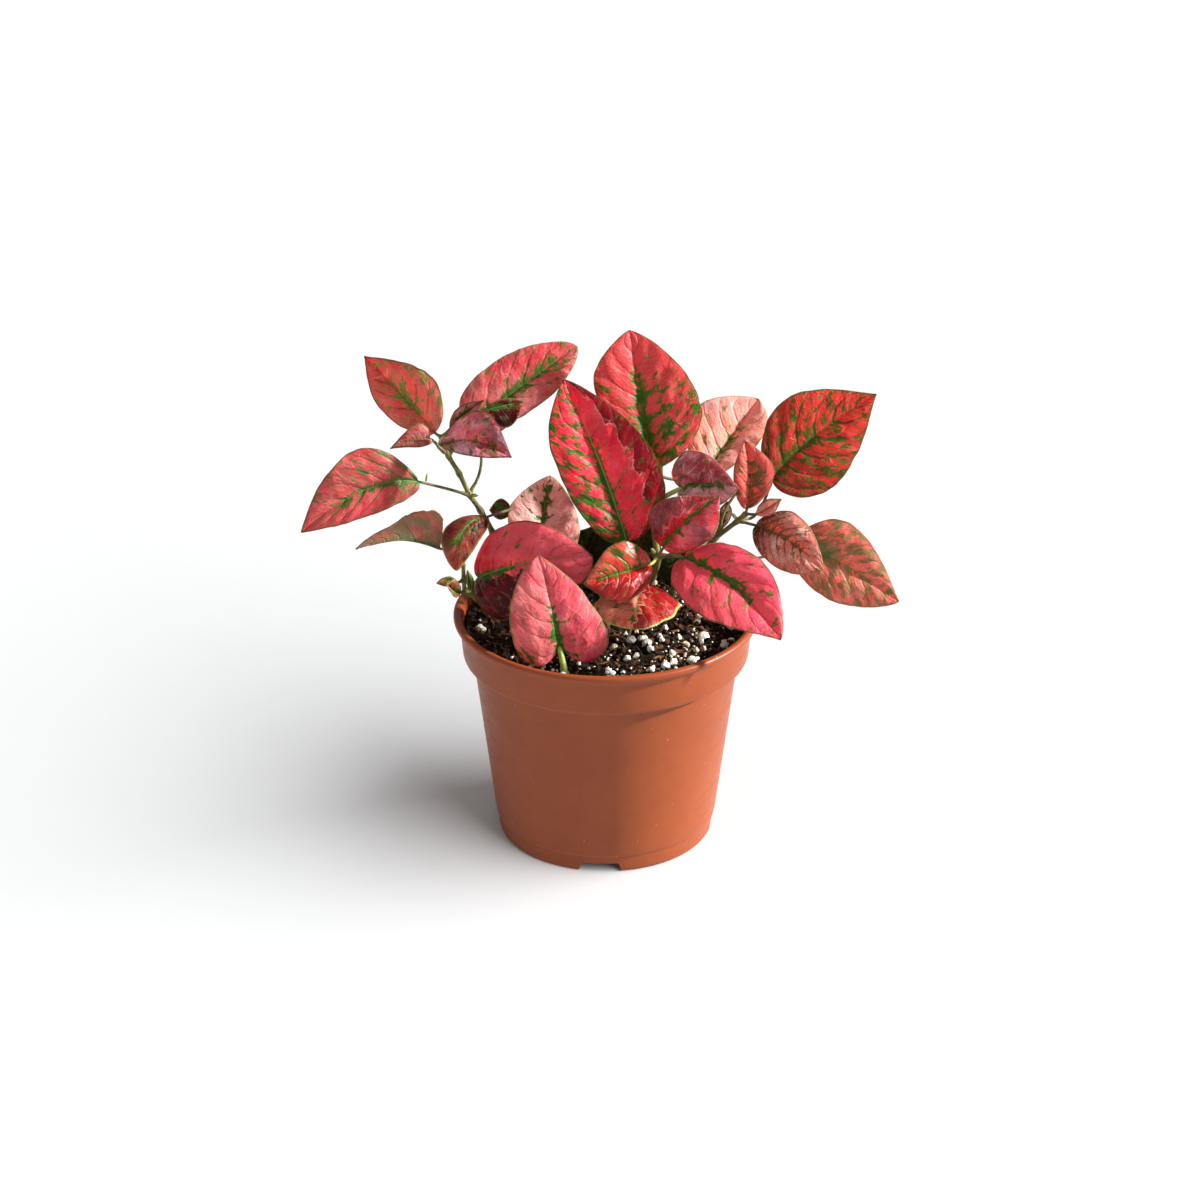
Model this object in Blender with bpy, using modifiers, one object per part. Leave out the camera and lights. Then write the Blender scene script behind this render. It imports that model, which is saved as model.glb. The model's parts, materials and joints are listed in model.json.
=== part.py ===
"""Potted polka dot plant in a 105 mm nursery pot.

Origin at the middle of the pot's foot, on the floor.  +Z up, +X along the widest spread of the
leaves, -Y the side the plant faces.  Sizes below are in millimetres.
"""

import math

import bmesh
import bpy
from mathutils import Vector, noise
from mathutils.bvhtree import BVHTree

MM = 0.001
GAP = 0.3  # clearance kept between pieces that touch

# Nursery pot
POT_HEIGHT = 82.5
RIM_RADIUS = 52.5
BAND_TOP_RADIUS = 50.3
BAND_FOOT_RADIUS = 49.3
BAND_FOOT_Z = 67.4
BODY_TOP_RADIUS = 45.9
BODY_TOP_Z = 66.4
FOOT_LINE_RADIUS = 38.6
FOOT_LINE_Z = 6.4
FOOT_RADIUS = 37.6
WALL = 1.2
FLOOR_TOP_Z = 3.0
NOTCH_COUNT = 4
NOTCH_WIDTH = 15.7
NOTCH_TOP_WIDTH = 13.0
NOTCH_HEIGHT = 3.6
NOTCH_TURN_DEG = -3.0

# Potting mix
SOIL_TOP_Z = 74.6
SOIL_RING_RADII = (48.0, 41.0, 33.5, 26.0, 18.5, 11.0, 4.5)
SOIL_LUMP = 1.1
SOIL_MOUND = 1.2

# Leaf stalks and blades
STALK = 1.1
BLADE = 0.6
TIP_HALF_WIDTH = 0.3
STALK_ROWS = (0.0, 0.34, 0.67)
BLADE_ROWS = (0.0, 0.08, 0.22, 0.4, 0.58, 0.75, 0.89, 1.0)
BLADE_COLUMNS = (-1.0, -0.55, 0.0, 0.55, 1.0)
SMALL_STALK_ROWS = (0.0, 0.5)
SMALL_BLADE_ROWS = (0.0, 0.2, 0.45, 0.75, 1.0)
SMALL_COLUMNS = (-1.0, 0.0, 1.0)
SMALL_LEAF = 14.0  # a blade shorter than this takes the small rows

# Stems: foot on the soil (x, y), then the nodes up to the growing tip.
STEMS = {
    "stem_left": {
        "foot": (-29, 17),
        "nodes": [(-31.5, 16, 82.5), (-39, 12, 106), (-43, 11.5, 114.5), (-46.5, 11, 120.5),
                  (-50, 11, 128.5), (-53.5, 10, 135.5), (-55.5, 9, 142.5)],
        "radius": 1.0,
    },
    "stem_lower_left": {
        "foot": (-39, 6),
        "nodes": [(-41.5, 4, 80), (-44.5, 0, 86.5), (-48, -2, 90.5), (-48.5, -3, 95),
                  (-48.5, -4, 101.5)],
        "radius": 0.9,
    },
    "stem_middle_left": {
        "foot": (-22, 20),
        "nodes": [(-23, 18, 80), (-24.5, 16, 97.5), (-26.5, 14, 116.5)],
        "radius": 1.0,
    },
    "stem_centre": {
        "foot": (13.5, 7),
        "nodes": [(14.5, 4, 86), (16, 0.5, 95), (17.5, -3, 103.5), (15.5, 4, 120),
                  (16.5, 9, 129)],
        "radius": 1.3,
    },
    "stem_right": {
        "foot": (19.5, 9),
        "nodes": [(23, 6.5, 86), (31.5, 4, 100), (37, 3, 107.5), (45, 3, 114.5), (47.5, 3, 117)],
        "radius": 1.1,
    },
}

# Leaves: base, middle and tip of the midrib, the widest point of each half, the stem and node the
# stalk leaves from.  via bends the stalk; heart draws the base lobes back; blunt and sharp shape the
# outline below and above the widest point.
LEAVES = {
    "leaf_left_top": {
        "base": (-58, 10, 144), "middle": (-68.5, 14, 155.5), "tip": (-81.5, 19, 168),
        "left": (-76, 11, 152), "right": (-58.5, 11, 163.5),
        "stem": ("stem_left", 6), "heart": 2,
    },
    "leaf_left_back": {
        "base": (-45, 17, 145), "middle": (-28, 25, 155.5), "tip": (-10, 34, 166),
        "left": (-40, 27, 161.5), "right": (-21.5, 21, 150.5),
        "stem": ("stem_left", 3), "via": (-42.5, 15, 132), "heart": 7, "sharp": 0.75,
    },
    "leaf_left_young_upright": {
        "base": (-52.5, 10, 145.5), "middle": (-47.5, 9, 151), "tip": (-41, 8, 156.5),
        "left": (-49.5, 9, 153.5), "right": (-45.5, 7, 149.5),
        "stem": ("stem_left", 6),
    },
    "leaf_left_young_front": {
        "base": (-56, 5, 141.5), "middle": (-43.5, 1, 144.5), "tip": (-31.5, -5, 141),
        "left": (-41, 2, 155), "right": (-45, -4, 141),
        "stem": ("stem_left", 6), "heart": 1, "blunt": 0.8,
    },
    "leaf_left_low_outer": {
        "base": (-63.5, 4, 128.5), "middle": (-81, -3, 128.5), "tip": (-102.5, -9, 115.5),
        "left": (-79, -6, 120.5), "right": (-82.5, -2, 143),
        "stem": ("stem_left", 3), "heart": 3,
    },
    "leaf_left_small": {
        "base": (-59.5, 7, 143), "middle": (-66, 3.5, 143.6), "tip": (-72.5, 1, 141.8),
        "left": (-65.5, 1.5, 141.5), "right": (-67.5, 5, 148),
        "stem": ("stem_left", 5),
    },
    "leaf_left_young_dark": {
        "base": (-40.5, 12, 151.5), "middle": (-34, 14, 152.5), "tip": (-28, 16, 153),
        "left": (-35, 15, 154), "right": (-33, 11, 145.5),
        "stem": ("stem_left", 5),
    },
    "leaf_lower_left_folded": {
        "base": (-56.5, 2, 105), "middle": (-70, 0, 106.5), "tip": (-85, -3, 106.5),
        "left": (-60.5, 0, 120), "right": (-65.5, 12, 107.5),
        "stem": ("stem_lower_left", 4), "sharp": 1.25,
    },
    "leaf_lower_left_curled": {
        "base": (-40.5, 3, 116), "middle": (-48.5, -4, 113.5), "tip": (-51, -8, 101),
        "left": (-44, -3, 108), "right": (-55.5, -2, 111.5),
        "stem": ("stem_middle_left", 2), "heart": 1, "sharp": 0.7,
    },
    "leaf_lower_left_small": {
        "base": (-32.5, 15, 113), "middle": (-36, 15, 114), "tip": (-40, 14, 113.5),
        "left": (-36.5, 13, 110.5), "right": (-36, 17, 116.5),
        "stem": ("stem_middle_left", 2),
    },
    "leaflet_rim_left_thin": {
        "base": (-50.5, -5, 95), "middle": (-54, -6, 96), "tip": (-57.5, -8, 96),
        "left": (-54, -7, 94.5), "right": (-54, -4, 96.5),
        "stem": ("stem_lower_left", 3),
    },
    "leaflet_rim_left_cupped": {
        "base": (-50, -6, 91.5), "middle": (-52, -9, 93.5), "tip": (-54, -11, 97),
        "left": (-51.5, -11, 92.5), "right": (-51, -8, 97.5),
        "stem": ("stem_lower_left", 2),
    },
    "bract_rim_left": {
        "base": (-46, -6, 92.5), "middle": (-46.5, -6, 96), "tip": (-47, -6, 100),
        "left": (-47.5, -6, 96), "right": (-45, -6, 96),
        "stem": ("stem_lower_left", 2),
    },
    "leaf_front_left_large": {
        "base": (-44, 2, 93.5), "middle": (-26, -6.5, 103.2), "tip": (-4.5, -10, 107),
        "left": (-30.5, 2.4, 114.4), "right": (-32.5, -12, 84.5),
        "stem": ("stem_lower_left", 1), "heart": 5, "blunt": 0.5,
    },
    "leaf_pale_mid_left": {
        "base": (-20, 4, 97.5), "middle": (-21.5, 9, 112), "tip": (-19, 15, 126),
        "left": (-33.5, 6, 115), "right": (-9, 7, 109),
        "stem": ("stem_middle_left", 1), "sharp": 0.75,
    },
    "leaf_front_heart": {
        "base": (-15.5, -32, 83.5), "middle": (-18, -27, 96), "tip": (-22.5, -15, 109.6),
        "left": (-32, -30, 90), "right": (0.3, -29, 89),
        "foot": (-13.5, -35), "heart": 9,
    },
    "leaf_centre_tall": {
        "base": (7, -2, 109), "middle": (-1.5, 6, 133), "tip": (-14, 14, 161.5),
        "left": (-17.5, 3, 136), "right": (19, 3, 133),
        "stem": ("stem_centre", 2), "heart": 2, "sharp": 0.8,
    },
    "leaf_back_tall": {
        "base": (15.5, 12, 129.5), "middle": (12, 20, 152), "tip": (8, 28, 174),
        "left": (-4, 18, 157), "right": (32.5, 17, 149.5),
        "stem": ("stem_centre", 4), "sharp": 0.75,
    },
    "leaf_maroon_folded": {
        "base": (26, 4, 128.5), "middle": (34.5, 0, 131), "tip": (43.5, -5, 132),
        "left": (28.5, 8, 139.5), "right": (34, 0, 123.5),
        "stem": ("stem_centre", 3), "heart": 6,
    },
    "leaf_salmon_back": {
        "base": (33, 18, 124), "middle": (43, 29, 133.5), "tip": (53, 38, 145),
        "left": (32, 34, 143.5), "right": (55, 27, 136.5),
        "stem": ("stem_centre", 4), "sharp": 0.8,
    },
    "leaf_red_cupped": {
        "base": (19.5, -7, 109), "middle": (27, -9, 119.5), "tip": (38, -7, 128),
        "left": (16, -8, 124.5), "right": (35.5, -13, 115.5),
        "stem": ("stem_centre", 2), "heart": 2,
    },
    "leaf_centre_small": {
        "base": (15, -9, 103.5), "middle": (4.5, -16, 103.5), "tip": (-7.5, -20, 101.5),
        "left": (5.5, -22, 95.5), "right": (4, -12, 113),
        "stem": ("stem_centre", 2), "heart": 2,
    },
    "leaf_centre_low": {
        "base": (11.5, -5, 95), "middle": (10.5, -18, 93.5), "tip": (8.5, -30, 89.5),
        "left": (25, -13, 90.5), "right": (-4, -19, 92),
        "stem": ("stem_centre", 1), "sharp": 0.6,
    },
    "leaf_front_right_large": {
        "base": (26.5, -10, 107), "middle": (42.3, -28, 104.8), "tip": (57.5, -42, 91.3),
        "left": (51.2, -24, 112.4), "right": (28.8, -35, 98.8),
        "stem": ("stem_centre", 2), "heart": 5,
    },
    "leaf_right_top": {
        "base": (56.5, 9, 127), "middle": (71, 15, 140.5), "tip": (92, 21, 153.5),
        "left": (60, 18, 152), "right": (79, 8, 126.5),
        "stem": ("stem_right", 3), "via": (52, 8, 115.5), "heart": 5,
    },
    "leaf_right_folded": {
        "base": (48, 3, 119), "middle": (49, 3, 131), "tip": (46.5, 6, 143),
        "left": (43, 0, 131.5), "right": (56.5, 2, 133.5),
        "stem": ("stem_right", 4),
    },
    "leaf_right_pleated": {
        "base": (51, 0, 114), "middle": (62, -7, 111.5), "tip": (73, -14, 104),
        "left": (64, -4, 120), "right": (57.5, -10, 103),
        "stem": ("stem_right", 3), "heart": 2, "sharp": 0.8,
    },
    "leaf_right_low_outer": {
        "base": (63.5, 8, 104.5), "middle": (81, 4, 98), "tip": (100.5, -2, 86.5),
        "left": (82, 8, 112), "right": (75.5, 0, 87),
        "stem": ("stem_right", 1), "via": (52, 5, 99.5),
    },
    "leaf_right_young": {
        "base": (51, -3, 119.5), "middle": (53.5, -4, 121.5), "tip": (57, -4, 123.5),
        "left": (52.5, -4, 123), "right": (54.5, -5, 120.5),
        "stem": ("stem_right", 4),
    },
    "leaf_right_sliver": {
        "base": (40, 7, 110.5), "middle": (40.5, 8, 115), "tip": (41.5, 9, 119),
        "left": (38.5, 8, 115), "right": (43, 8, 115),
        "stem": ("stem_right", 2),
    },
    "leaf_rear_centre": {
        "base": (1.5, 24, 105.5), "middle": (-2.5, 36, 113.5), "tip": (-6, 47, 120.5),
        "left": (-12, 32, 111.5), "right": (7, 36, 116),
        "stem": ("stem_middle_left", 1),
    },
    "leaf_rear_upper": {
        "base": (19.5, 26, 129), "middle": (20.5, 38, 134.5), "tip": (21, 52, 138.5),
        "left": (11, 36, 133.5), "right": (28.5, 36, 135),
        "stem": ("stem_centre", 3), "via": (18.5, 14, 121),
    },
    "leaf_rear_right_low": {
        "base": (28.5, 20, 97.5), "middle": (33, 34, 99), "tip": (36, 48, 99),
        "left": (25, 34, 101), "right": (41, 32, 97.5),
        "stem": ("stem_right", 1),
    },
    "leaf_rear_left_low": {
        "base": (-25, 24, 90), "middle": (-28, 36, 90.5), "tip": (-30.5, 47, 90),
        "left": (-35.5, 32, 89.5), "right": (-19.5, 38, 93.5),
        "stem": ("stem_middle_left", 0),
    },
    "leaf_rear_right": {
        "base": (59, 18, 130), "middle": (67.5, 30, 131), "tip": (76, 44, 132),
        "left": (63.5, 30, 138.5), "right": (72.5, 26, 125.5),
        "stem": ("stem_right", 2), "via": (44.5, 8, 122.5),
    },
    "leaf_rear_left": {
        "base": (-42.5, 20, 137), "middle": (-36.5, 34, 142.5), "tip": (-29, 46, 147),
        "left": (-44, 32, 145.5), "right": (-29.5, 31, 143),
        "stem": ("stem_left", 6),
    },
}

# Buds and stubs: stem, node, direction, length, radius at the foot.
BUDS = {
    "bud_left_outer": {"stem": ("stem_left", 3), "along": (-1, -8, 5), "length": 4.0, "radius": 0.9},
    "bud_left_inner": {"stem": ("stem_left", 3), "along": (8, -8, 3), "length": 3.5, "radius": 0.9},
    "bud_centre": {"stem": ("stem_centre", 2), "along": (-4, -6, 9), "length": 3.5, "radius": 0.8},
    "stub_right": {"stem": ("stem_right", 3), "along": (-7, -1, 9), "length": 3.0, "radius": 0.7},
}
STALK_STUB = {"foot": (-61, 4.2, 128.6), "along": (0.5, 0, 3), "length": 3.0, "radius": 0.45}

# Perlite grains large enough to be pieces: x, y on the soil, half-sizes along x, y, z.
GRAINS = {
    "perlite_a": {"at": (33.5, -9), "half": (2.1, 1.8, 1.6)},
    "perlite_b": {"at": (8.5, -12.5), "half": (1.6, 1.4, 1.3)},
    "perlite_c": {"at": (14, -15), "half": (1.6, 1.8, 1.4)},
    "perlite_d": {"at": (29, -27), "half": (1.7, 1.5, 1.3)},
    "perlite_e": {"at": (20, -31), "half": (1.5, 1.6, 1.3)},
    "perlite_f": {"at": (-44, -4), "half": (1.6, 1.4, 1.3)},
}

MATERIALS = {
    "pot_plastic": {"colour": (0.50, 0.16, 0.07), "roughness": 0.42},
    "potting_mix": {"colour": (0.035, 0.022, 0.015), "roughness": 0.95},
    "perlite": {"colour": (0.80, 0.77, 0.70), "roughness": 0.9},
    "stem_skin": {"colour": (0.16, 0.17, 0.05), "roughness": 0.55},
    "bud_skin": {"colour": (0.35, 0.34, 0.09), "roughness": 0.55},
    "leaf_red": {"colour": (0.66, 0.06, 0.06), "roughness": 0.5},
    "leaf_pink": {"colour": (0.68, 0.14, 0.17), "roughness": 0.5},
    "leaf_pale": {"colour": (0.80, 0.36, 0.30), "roughness": 0.5},
    "leaf_maroon": {"colour": (0.25, 0.04, 0.05), "roughness": 0.45},
}
SKIN_OF = {
    "leaf_left_back": "leaf_pink",
    "leaf_left_young_upright": "leaf_maroon",
    "leaf_left_young_front": "leaf_maroon",
    "leaf_left_young_dark": "leaf_maroon",
    "leaf_left_small": "leaf_maroon",
    "leaf_lower_left_folded": "leaf_maroon",
    "leaf_lower_left_small": "leaf_maroon",
    "leaf_front_left_large": "leaf_pink",
    "leaf_front_heart": "leaf_pink",
    "leaf_maroon_folded": "leaf_maroon",
    "leaf_pale_mid_left": "leaf_pale",
    "leaf_salmon_back": "leaf_pale",
    "leaf_right_young": "leaf_pale",
    "leaf_right_sliver": "leaf_pale",
    "bract_rim_left": "bud_skin",
}


def clear_scene():
    for old in list(bpy.data.objects):
        bpy.data.objects.remove(old, do_unlink=True)


def new_collection(name, hidden=False):
    collection = bpy.data.collections.new(name)
    collection.hide_render = hidden
    bpy.context.scene.collection.children.link(collection)
    return collection


def new_material(name):
    values = MATERIALS[name]
    material = bpy.data.materials.new(name)
    material.use_nodes = True
    shader = material.node_tree.nodes["Principled BSDF"]
    shader.inputs["Base Color"].default_value = (*values["colour"], 1.0)
    shader.inputs["Roughness"].default_value = values["roughness"]
    shader.inputs["Metallic"].default_value = 0.0
    return material


def link_piece(obj, collection, skin):
    collection.objects.link(obj)
    obj.data.materials.append(skin)
    return obj


def mesh_piece(name, bm, collection, skin, origin=(0, 0, 0)):
    """A mesh object whose own origin is at a point of the piece, such as a stalk's foot."""
    origin = Vector(origin) * MM
    bmesh.ops.translate(bm, vec=-origin, verts=bm.verts)
    mesh = bpy.data.meshes.new(name)
    bm.to_mesh(mesh)
    bm.free()
    obj = bpy.data.objects.new(name, mesh)
    obj.location = origin
    return link_piece(obj, collection, skin)


def shade_round(obj, angle_deg=40):
    obj.data.shade_smooth()
    obj.data.set_sharp_from_angle(angle=math.radians(angle_deg))


def turn_profile(name, profile, steps, collection, skin):
    """Turns (radius, z) points, given in mm down the outer side, about Z."""
    bm = bmesh.new()
    verts = [bm.verts.new((r * MM, 0.0, z * MM)) for r, z in profile]
    for first, second in zip(verts, verts[1:]):
        bm.edges.new((first, second))
    obj = mesh_piece(name, bm, collection, skin)
    screw = obj.modifiers.new("turn", "SCREW")
    screw.steps = steps
    screw.render_steps = steps
    screw.use_merge_vertices = True
    screw.merge_threshold = 0.00001
    return obj


def notch_cutter(name, angle_deg, cutters):
    """A tapered block that cuts one drain notch through the foot."""
    bm = bmesh.new()
    bmesh.ops.create_cube(bm, size=1.0)
    low = -2.0
    for vert in bm.verts:
        top = vert.co.z > 0
        width = NOTCH_TOP_WIDTH if top else NOTCH_WIDTH
        vert.co.y = math.copysign(width / 2, vert.co.y)
        vert.co.x = 42.0 if vert.co.x > 0 else 32.0
        vert.co.z = NOTCH_HEIGHT if top else low
        vert.co *= MM
    obj = mesh_piece(name, bm, cutters, bpy.data.materials["pot_plastic"])
    obj.rotation_euler.z = math.radians(angle_deg)
    obj.display_type = "WIRE"
    obj.hide_render = True
    return obj


def build_pot(plant, cutters, skin):
    inner_body = BODY_TOP_RADIUS - WALL
    inner_band = BAND_FOOT_RADIUS - WALL
    inner_foot = FOOT_LINE_RADIUS - WALL - 0.5
    profile = [
        (0.0, FLOOR_TOP_Z),
        (inner_foot, FLOOR_TOP_Z),
        (inner_body, BODY_TOP_Z - 0.2),
        (inner_band, BAND_FOOT_Z + 0.6),
        (BAND_TOP_RADIUS - WALL, POT_HEIGHT - 1.8),
        (49.9, POT_HEIGHT - 0.7),
        (50.8, POT_HEIGHT - 0.1),
        (51.5, POT_HEIGHT),
        (52.2, POT_HEIGHT - 0.4),
        (RIM_RADIUS, POT_HEIGHT - 1.2),
        (52.3, POT_HEIGHT - 2.1),
        (51.5, POT_HEIGHT - 2.7),
        (BAND_TOP_RADIUS, POT_HEIGHT - 3.1),
        (BAND_FOOT_RADIUS, BAND_FOOT_Z),
        (BAND_FOOT_RADIUS - 0.5, BAND_FOOT_Z - 0.5),
        (BODY_TOP_RADIUS, BODY_TOP_Z),
        (FOOT_LINE_RADIUS, FOOT_LINE_Z),
        (FOOT_LINE_RADIUS - 0.6, FOOT_LINE_Z - 0.5),
        (FOOT_RADIUS, 0.5),
        (FOOT_RADIUS - 0.5, 0.0),
        (34.0, 0.0),
        (33.6, 1.5),
        (15.6, 1.5),
        (15.0, 0.0),
        (0.0, 0.0),
    ]
    pot = turn_profile("pot", profile, 48, plant, skin)
    for index in range(NOTCH_COUNT):
        angle = -90 + NOTCH_TURN_DEG + index * 360 / NOTCH_COUNT
        cutter = notch_cutter(f"notch_cutter_{index + 1}", angle, cutters)
        cut = pot.modifiers.new(f"notch_{index + 1}", "BOOLEAN")
        cut.operation = "DIFFERENCE"
        cut.solver = "EXACT"
        cut.object = cutter
    shade_round(pot)


def soil_height(x, y):
    radius = math.hypot(x, y)
    lumps = noise.noise(Vector((x * 0.11, y * 0.11, 3.7)))
    mound = SOIL_MOUND * max(0.0, 1 - (radius / 46) ** 2)
    return SOIL_TOP_Z + mound + SOIL_LUMP * lumps


def build_soil(plant, skin):
    """Fills the pot to just under its band; the top is lumpy."""
    bm = bmesh.new()
    low_wall = FOOT_LINE_RADIUS - WALL - 0.5
    body_wall = BODY_TOP_RADIUS - WALL
    band_wall = BAND_FOOT_RADIUS - WALL
    profile = [(ring, SOIL_TOP_Z) for ring in reversed(SOIL_RING_RADII)]
    profile += [
        (band_wall - 0.35, BAND_FOOT_Z + 0.9),
        (body_wall - 0.4, BODY_TOP_Z),
        (low_wall - 0.25, FLOOR_TOP_Z + 0.8),
        (low_wall - 5.5, FLOOR_TOP_Z + 0.8),
        (low_wall - 6.0, FLOOR_TOP_Z + GAP),
        (0.0, FLOOR_TOP_Z + GAP),
    ]
    verts = [bm.verts.new((0.0, 0.0, SOIL_TOP_Z))]
    verts += [bm.verts.new((r, 0.0, z)) for r, z in profile]
    edges = [bm.edges.new(pair) for pair in zip(verts, verts[1:])]
    bmesh.ops.spin(
        bm, geom=verts + edges, cent=(0, 0, 0), axis=(0, 0, 1), angle=math.tau, steps=32,
        use_merge=True,
    )
    bmesh.ops.remove_doubles(bm, verts=bm.verts, dist=0.001)
    for vert in bm.verts:
        if vert.co.z > SOIL_TOP_Z - 0.001:
            vert.co.z = soil_height(vert.co.x, vert.co.y)
    bmesh.ops.recalc_face_normals(bm, faces=bm.faces)
    bmesh.ops.scale(bm, vec=(MM, MM, MM), verts=bm.verts)
    soil = mesh_piece("soil", bm, plant, skin)
    shade_round(soil, 60)
    return soil


def height_finder(soil):
    bm = bmesh.new()
    bm.from_mesh(soil.data)
    tree = BVHTree.FromBMesh(bm)
    bm.free()

    def find(x, y):
        hit = tree.ray_cast(Vector((x * MM, y * MM, 0.2)), Vector((0, 0, -1)))
        return hit[0].z / MM

    return find


def build_stem(name, height, plant, skin):
    spec = STEMS[name]
    x, y = spec["foot"]
    first = Vector(spec["nodes"][0])
    lean = Vector((first.x - x, first.y - y))
    tilt = math.atan2(lean.length, first.z - SOIL_TOP_Z)
    z = height(x, y) + GAP + 0.1 + spec["radius"] * 1.15 * math.sin(tilt)
    points = [Vector((x, y, z))] + [Vector(node) for node in spec["nodes"]]
    curve = bpy.data.curves.new(name, "CURVE")
    curve.dimensions = "3D"
    curve.resolution_u = 3
    curve.bevel_depth = spec["radius"] * MM
    curve.bevel_resolution = 2
    curve.use_fill_caps = True
    spline = curve.splines.new("BEZIER")
    spline.bezier_points.add(len(points) - 1)
    for index, (knot, point) in enumerate(zip(spline.bezier_points, points)):
        knot.co = point * MM
        knot.handle_left_type = "AUTO"
        knot.handle_right_type = "AUTO"
        knot.radius = 1.15 - 0.3 * index / (len(points) - 1)
    return link_piece(bpy.data.objects.new(name, curve), plant, skin)


def attach(stem, node, towards, half):
    """The point where a stalk of this half-width, going towards a point, clears the stem."""
    spec = STEMS[stem]
    nodes = spec["nodes"]
    here = Vector(nodes[node])
    away = (Vector(towards) - here).normalized()
    before = Vector(nodes[max(0, node - 1)])
    after = Vector(nodes[min(node + 1, len(nodes) - 1)])
    reach = spec["radius"] + GAP
    for axis in (before - here, after - here, after - before, before - after):
        cosine = axis.normalized().dot(away)
        sine = max(0.25, math.sqrt(max(0.0, 1 - cosine * cosine)))
        if cosine > 0:
            reach = max(reach, (spec["radius"] + GAP + half * cosine) / sine)
    if node == len(nodes) - 1:
        cosine = (here - Vector(nodes[node - 1])).normalized().dot(away)
        sine = math.sqrt(max(0.0, 1 - cosine * cosine))
        if cosine > 0.1:
            reach = min(reach, (GAP + half * sine) / cosine)
    return here + away * reach


def curve_point(start, middle, end, t):
    """The parabola through start, middle (half way) and end."""
    control = 2 * middle - (start + end) / 2
    return (1 - t) ** 2 * start + 2 * t * (1 - t) * control + t * t * end


def curve_slope(start, middle, end, t):
    control = 2 * middle - (start + end) / 2
    slope = 2 * (1 - t) * (control - start) + 2 * t * (end - control)
    return slope.normalized()


def blade_width(t, peak, blunt, sharp):
    """Share of the full half-width at t along the midrib."""
    if t < peak:
        return math.sin(math.pi / 2 * t / peak) ** blunt
    return max(0.0, math.cos(math.pi / 2 * (t - peak) / (1 - peak))) ** sharp


class Leaf:
    """One blade and its stalk, as rows across from the stalk's foot to the tip."""

    def __init__(self, spec, height):
        self.spec = spec
        self.height = height
        self.base, self.middle, self.tip = (Vector(spec[key]) for key in ("base", "middle", "tip"))
        chord = self.tip - self.base
        self.length = chord.length
        self.halves = {}
        for side in ("left", "right"):
            edge = Vector(spec[side])
            peak = (edge - self.base).dot(chord) / chord.length_squared
            peak = min(0.75, max(0.2, peak))
            rib = curve_point(self.base, self.middle, self.tip, peak)
            self.halves[side] = (peak, edge - rib)
        self.across = self.halves["right"][1] - self.halves["left"][1]

    def stalk_point(self, u):
        slope = curve_slope(self.base, self.middle, self.tip, 0.0)
        root = self.root()
        reach = (self.base - root).length
        via = self.spec.get("via")
        via = Vector(via) if via else (root + self.base) / 2 - slope * reach * 0.1
        return curve_point(root, via, self.base, u)

    def root(self):
        if "foot" in self.spec:
            x, y = self.spec["foot"]
            return Vector((x, y, self.height(x, y) + GAP + 0.4))
        stem, node = self.spec["stem"]
        return attach(stem, node, self.spec.get("via", self.base), STALK / 2)

    def stalk_row(self, u, columns):
        here = self.stalk_point(u)
        slope = (self.stalk_point(u + 0.02) - self.stalk_point(u - 0.02)).normalized()
        across = self.across - slope * self.across.dot(slope)
        return [here + across.normalized() * s * STALK / 2 for s in columns]

    def blade_row(self, t, columns):
        spec = self.spec
        rib = curve_point(self.base, self.middle, self.tip, t)
        slope = curve_slope(self.base, self.middle, self.tip, t)
        normal = self.across.cross(slope).normalized()
        row = []
        for s in columns:
            peak, spread = self.halves["right" if s > 0 else "left"]
            share = blade_width(t, peak, spec.get("blunt", 0.55), spec.get("sharp", 1.0))
            least = (STALK / 2 if t < 0.5 else TIP_HALF_WIDTH) / spread.length
            share = max(share, least)
            side = abs(s)
            point = rib + spread * side * share
            point += normal * spec.get("dome", 1.0) * 4 * side * (1 - side) * share
            point -= slope * spec.get("heart", 0) * side * side * (1 - t) ** 3 * min(1, share)
            row.append(point)
        return row


def build_leaf(name, height, plant, skin):
    leaf = Leaf(LEAVES[name], height)
    small = leaf.length < SMALL_LEAF
    columns = SMALL_COLUMNS if small else BLADE_COLUMNS
    stalk_rows = SMALL_STALK_ROWS if small else STALK_ROWS
    blade_rows = SMALL_BLADE_ROWS if small else BLADE_ROWS
    rows = [leaf.stalk_row(u, columns) for u in stalk_rows]
    rows += [leaf.blade_row(t, columns) for t in blade_rows]
    bm = bmesh.new()
    bmesh.ops.create_grid(bm, x_segments=len(columns) - 1, y_segments=len(rows) - 1, size=1.0)
    thick = bm.verts.layers.deform.verify()
    for vert in bm.verts:
        column = round((vert.co.x + 1) / 2 * (len(columns) - 1))
        row = round((vert.co.y + 1) / 2 * (len(rows) - 1))
        vert.co = rows[row][column] * MM
        vert[thick][0] = 1.0 if row <= len(stalk_rows) else BLADE / STALK
    obj = mesh_piece(name, bm, plant, skin, origin=leaf.root())
    obj.vertex_groups.new(name="thickness")
    solid = obj.modifiers.new("thickness", "SOLIDIFY")
    solid.thickness = STALK * MM
    solid.offset = 0.0
    solid.vertex_group = "thickness"
    shade_round(obj, 50)


def build_cone(name, foot, along, length, radius, plant, skin):
    bm = bmesh.new()
    bmesh.ops.create_cone(
        bm, cap_ends=True, segments=6, radius1=radius * MM, radius2=radius * 0.35 * MM,
        depth=length * MM,
    )
    direction = Vector(along).normalized()
    turn = direction.to_track_quat("Z", "Y").to_matrix()
    bmesh.ops.rotate(bm, cent=(0, 0, 0), matrix=turn, verts=bm.verts)
    bmesh.ops.translate(bm, vec=(Vector(foot) + direction * length / 2) * MM, verts=bm.verts)
    shade_round(mesh_piece(name, bm, plant, skin, origin=foot), 40)


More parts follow.
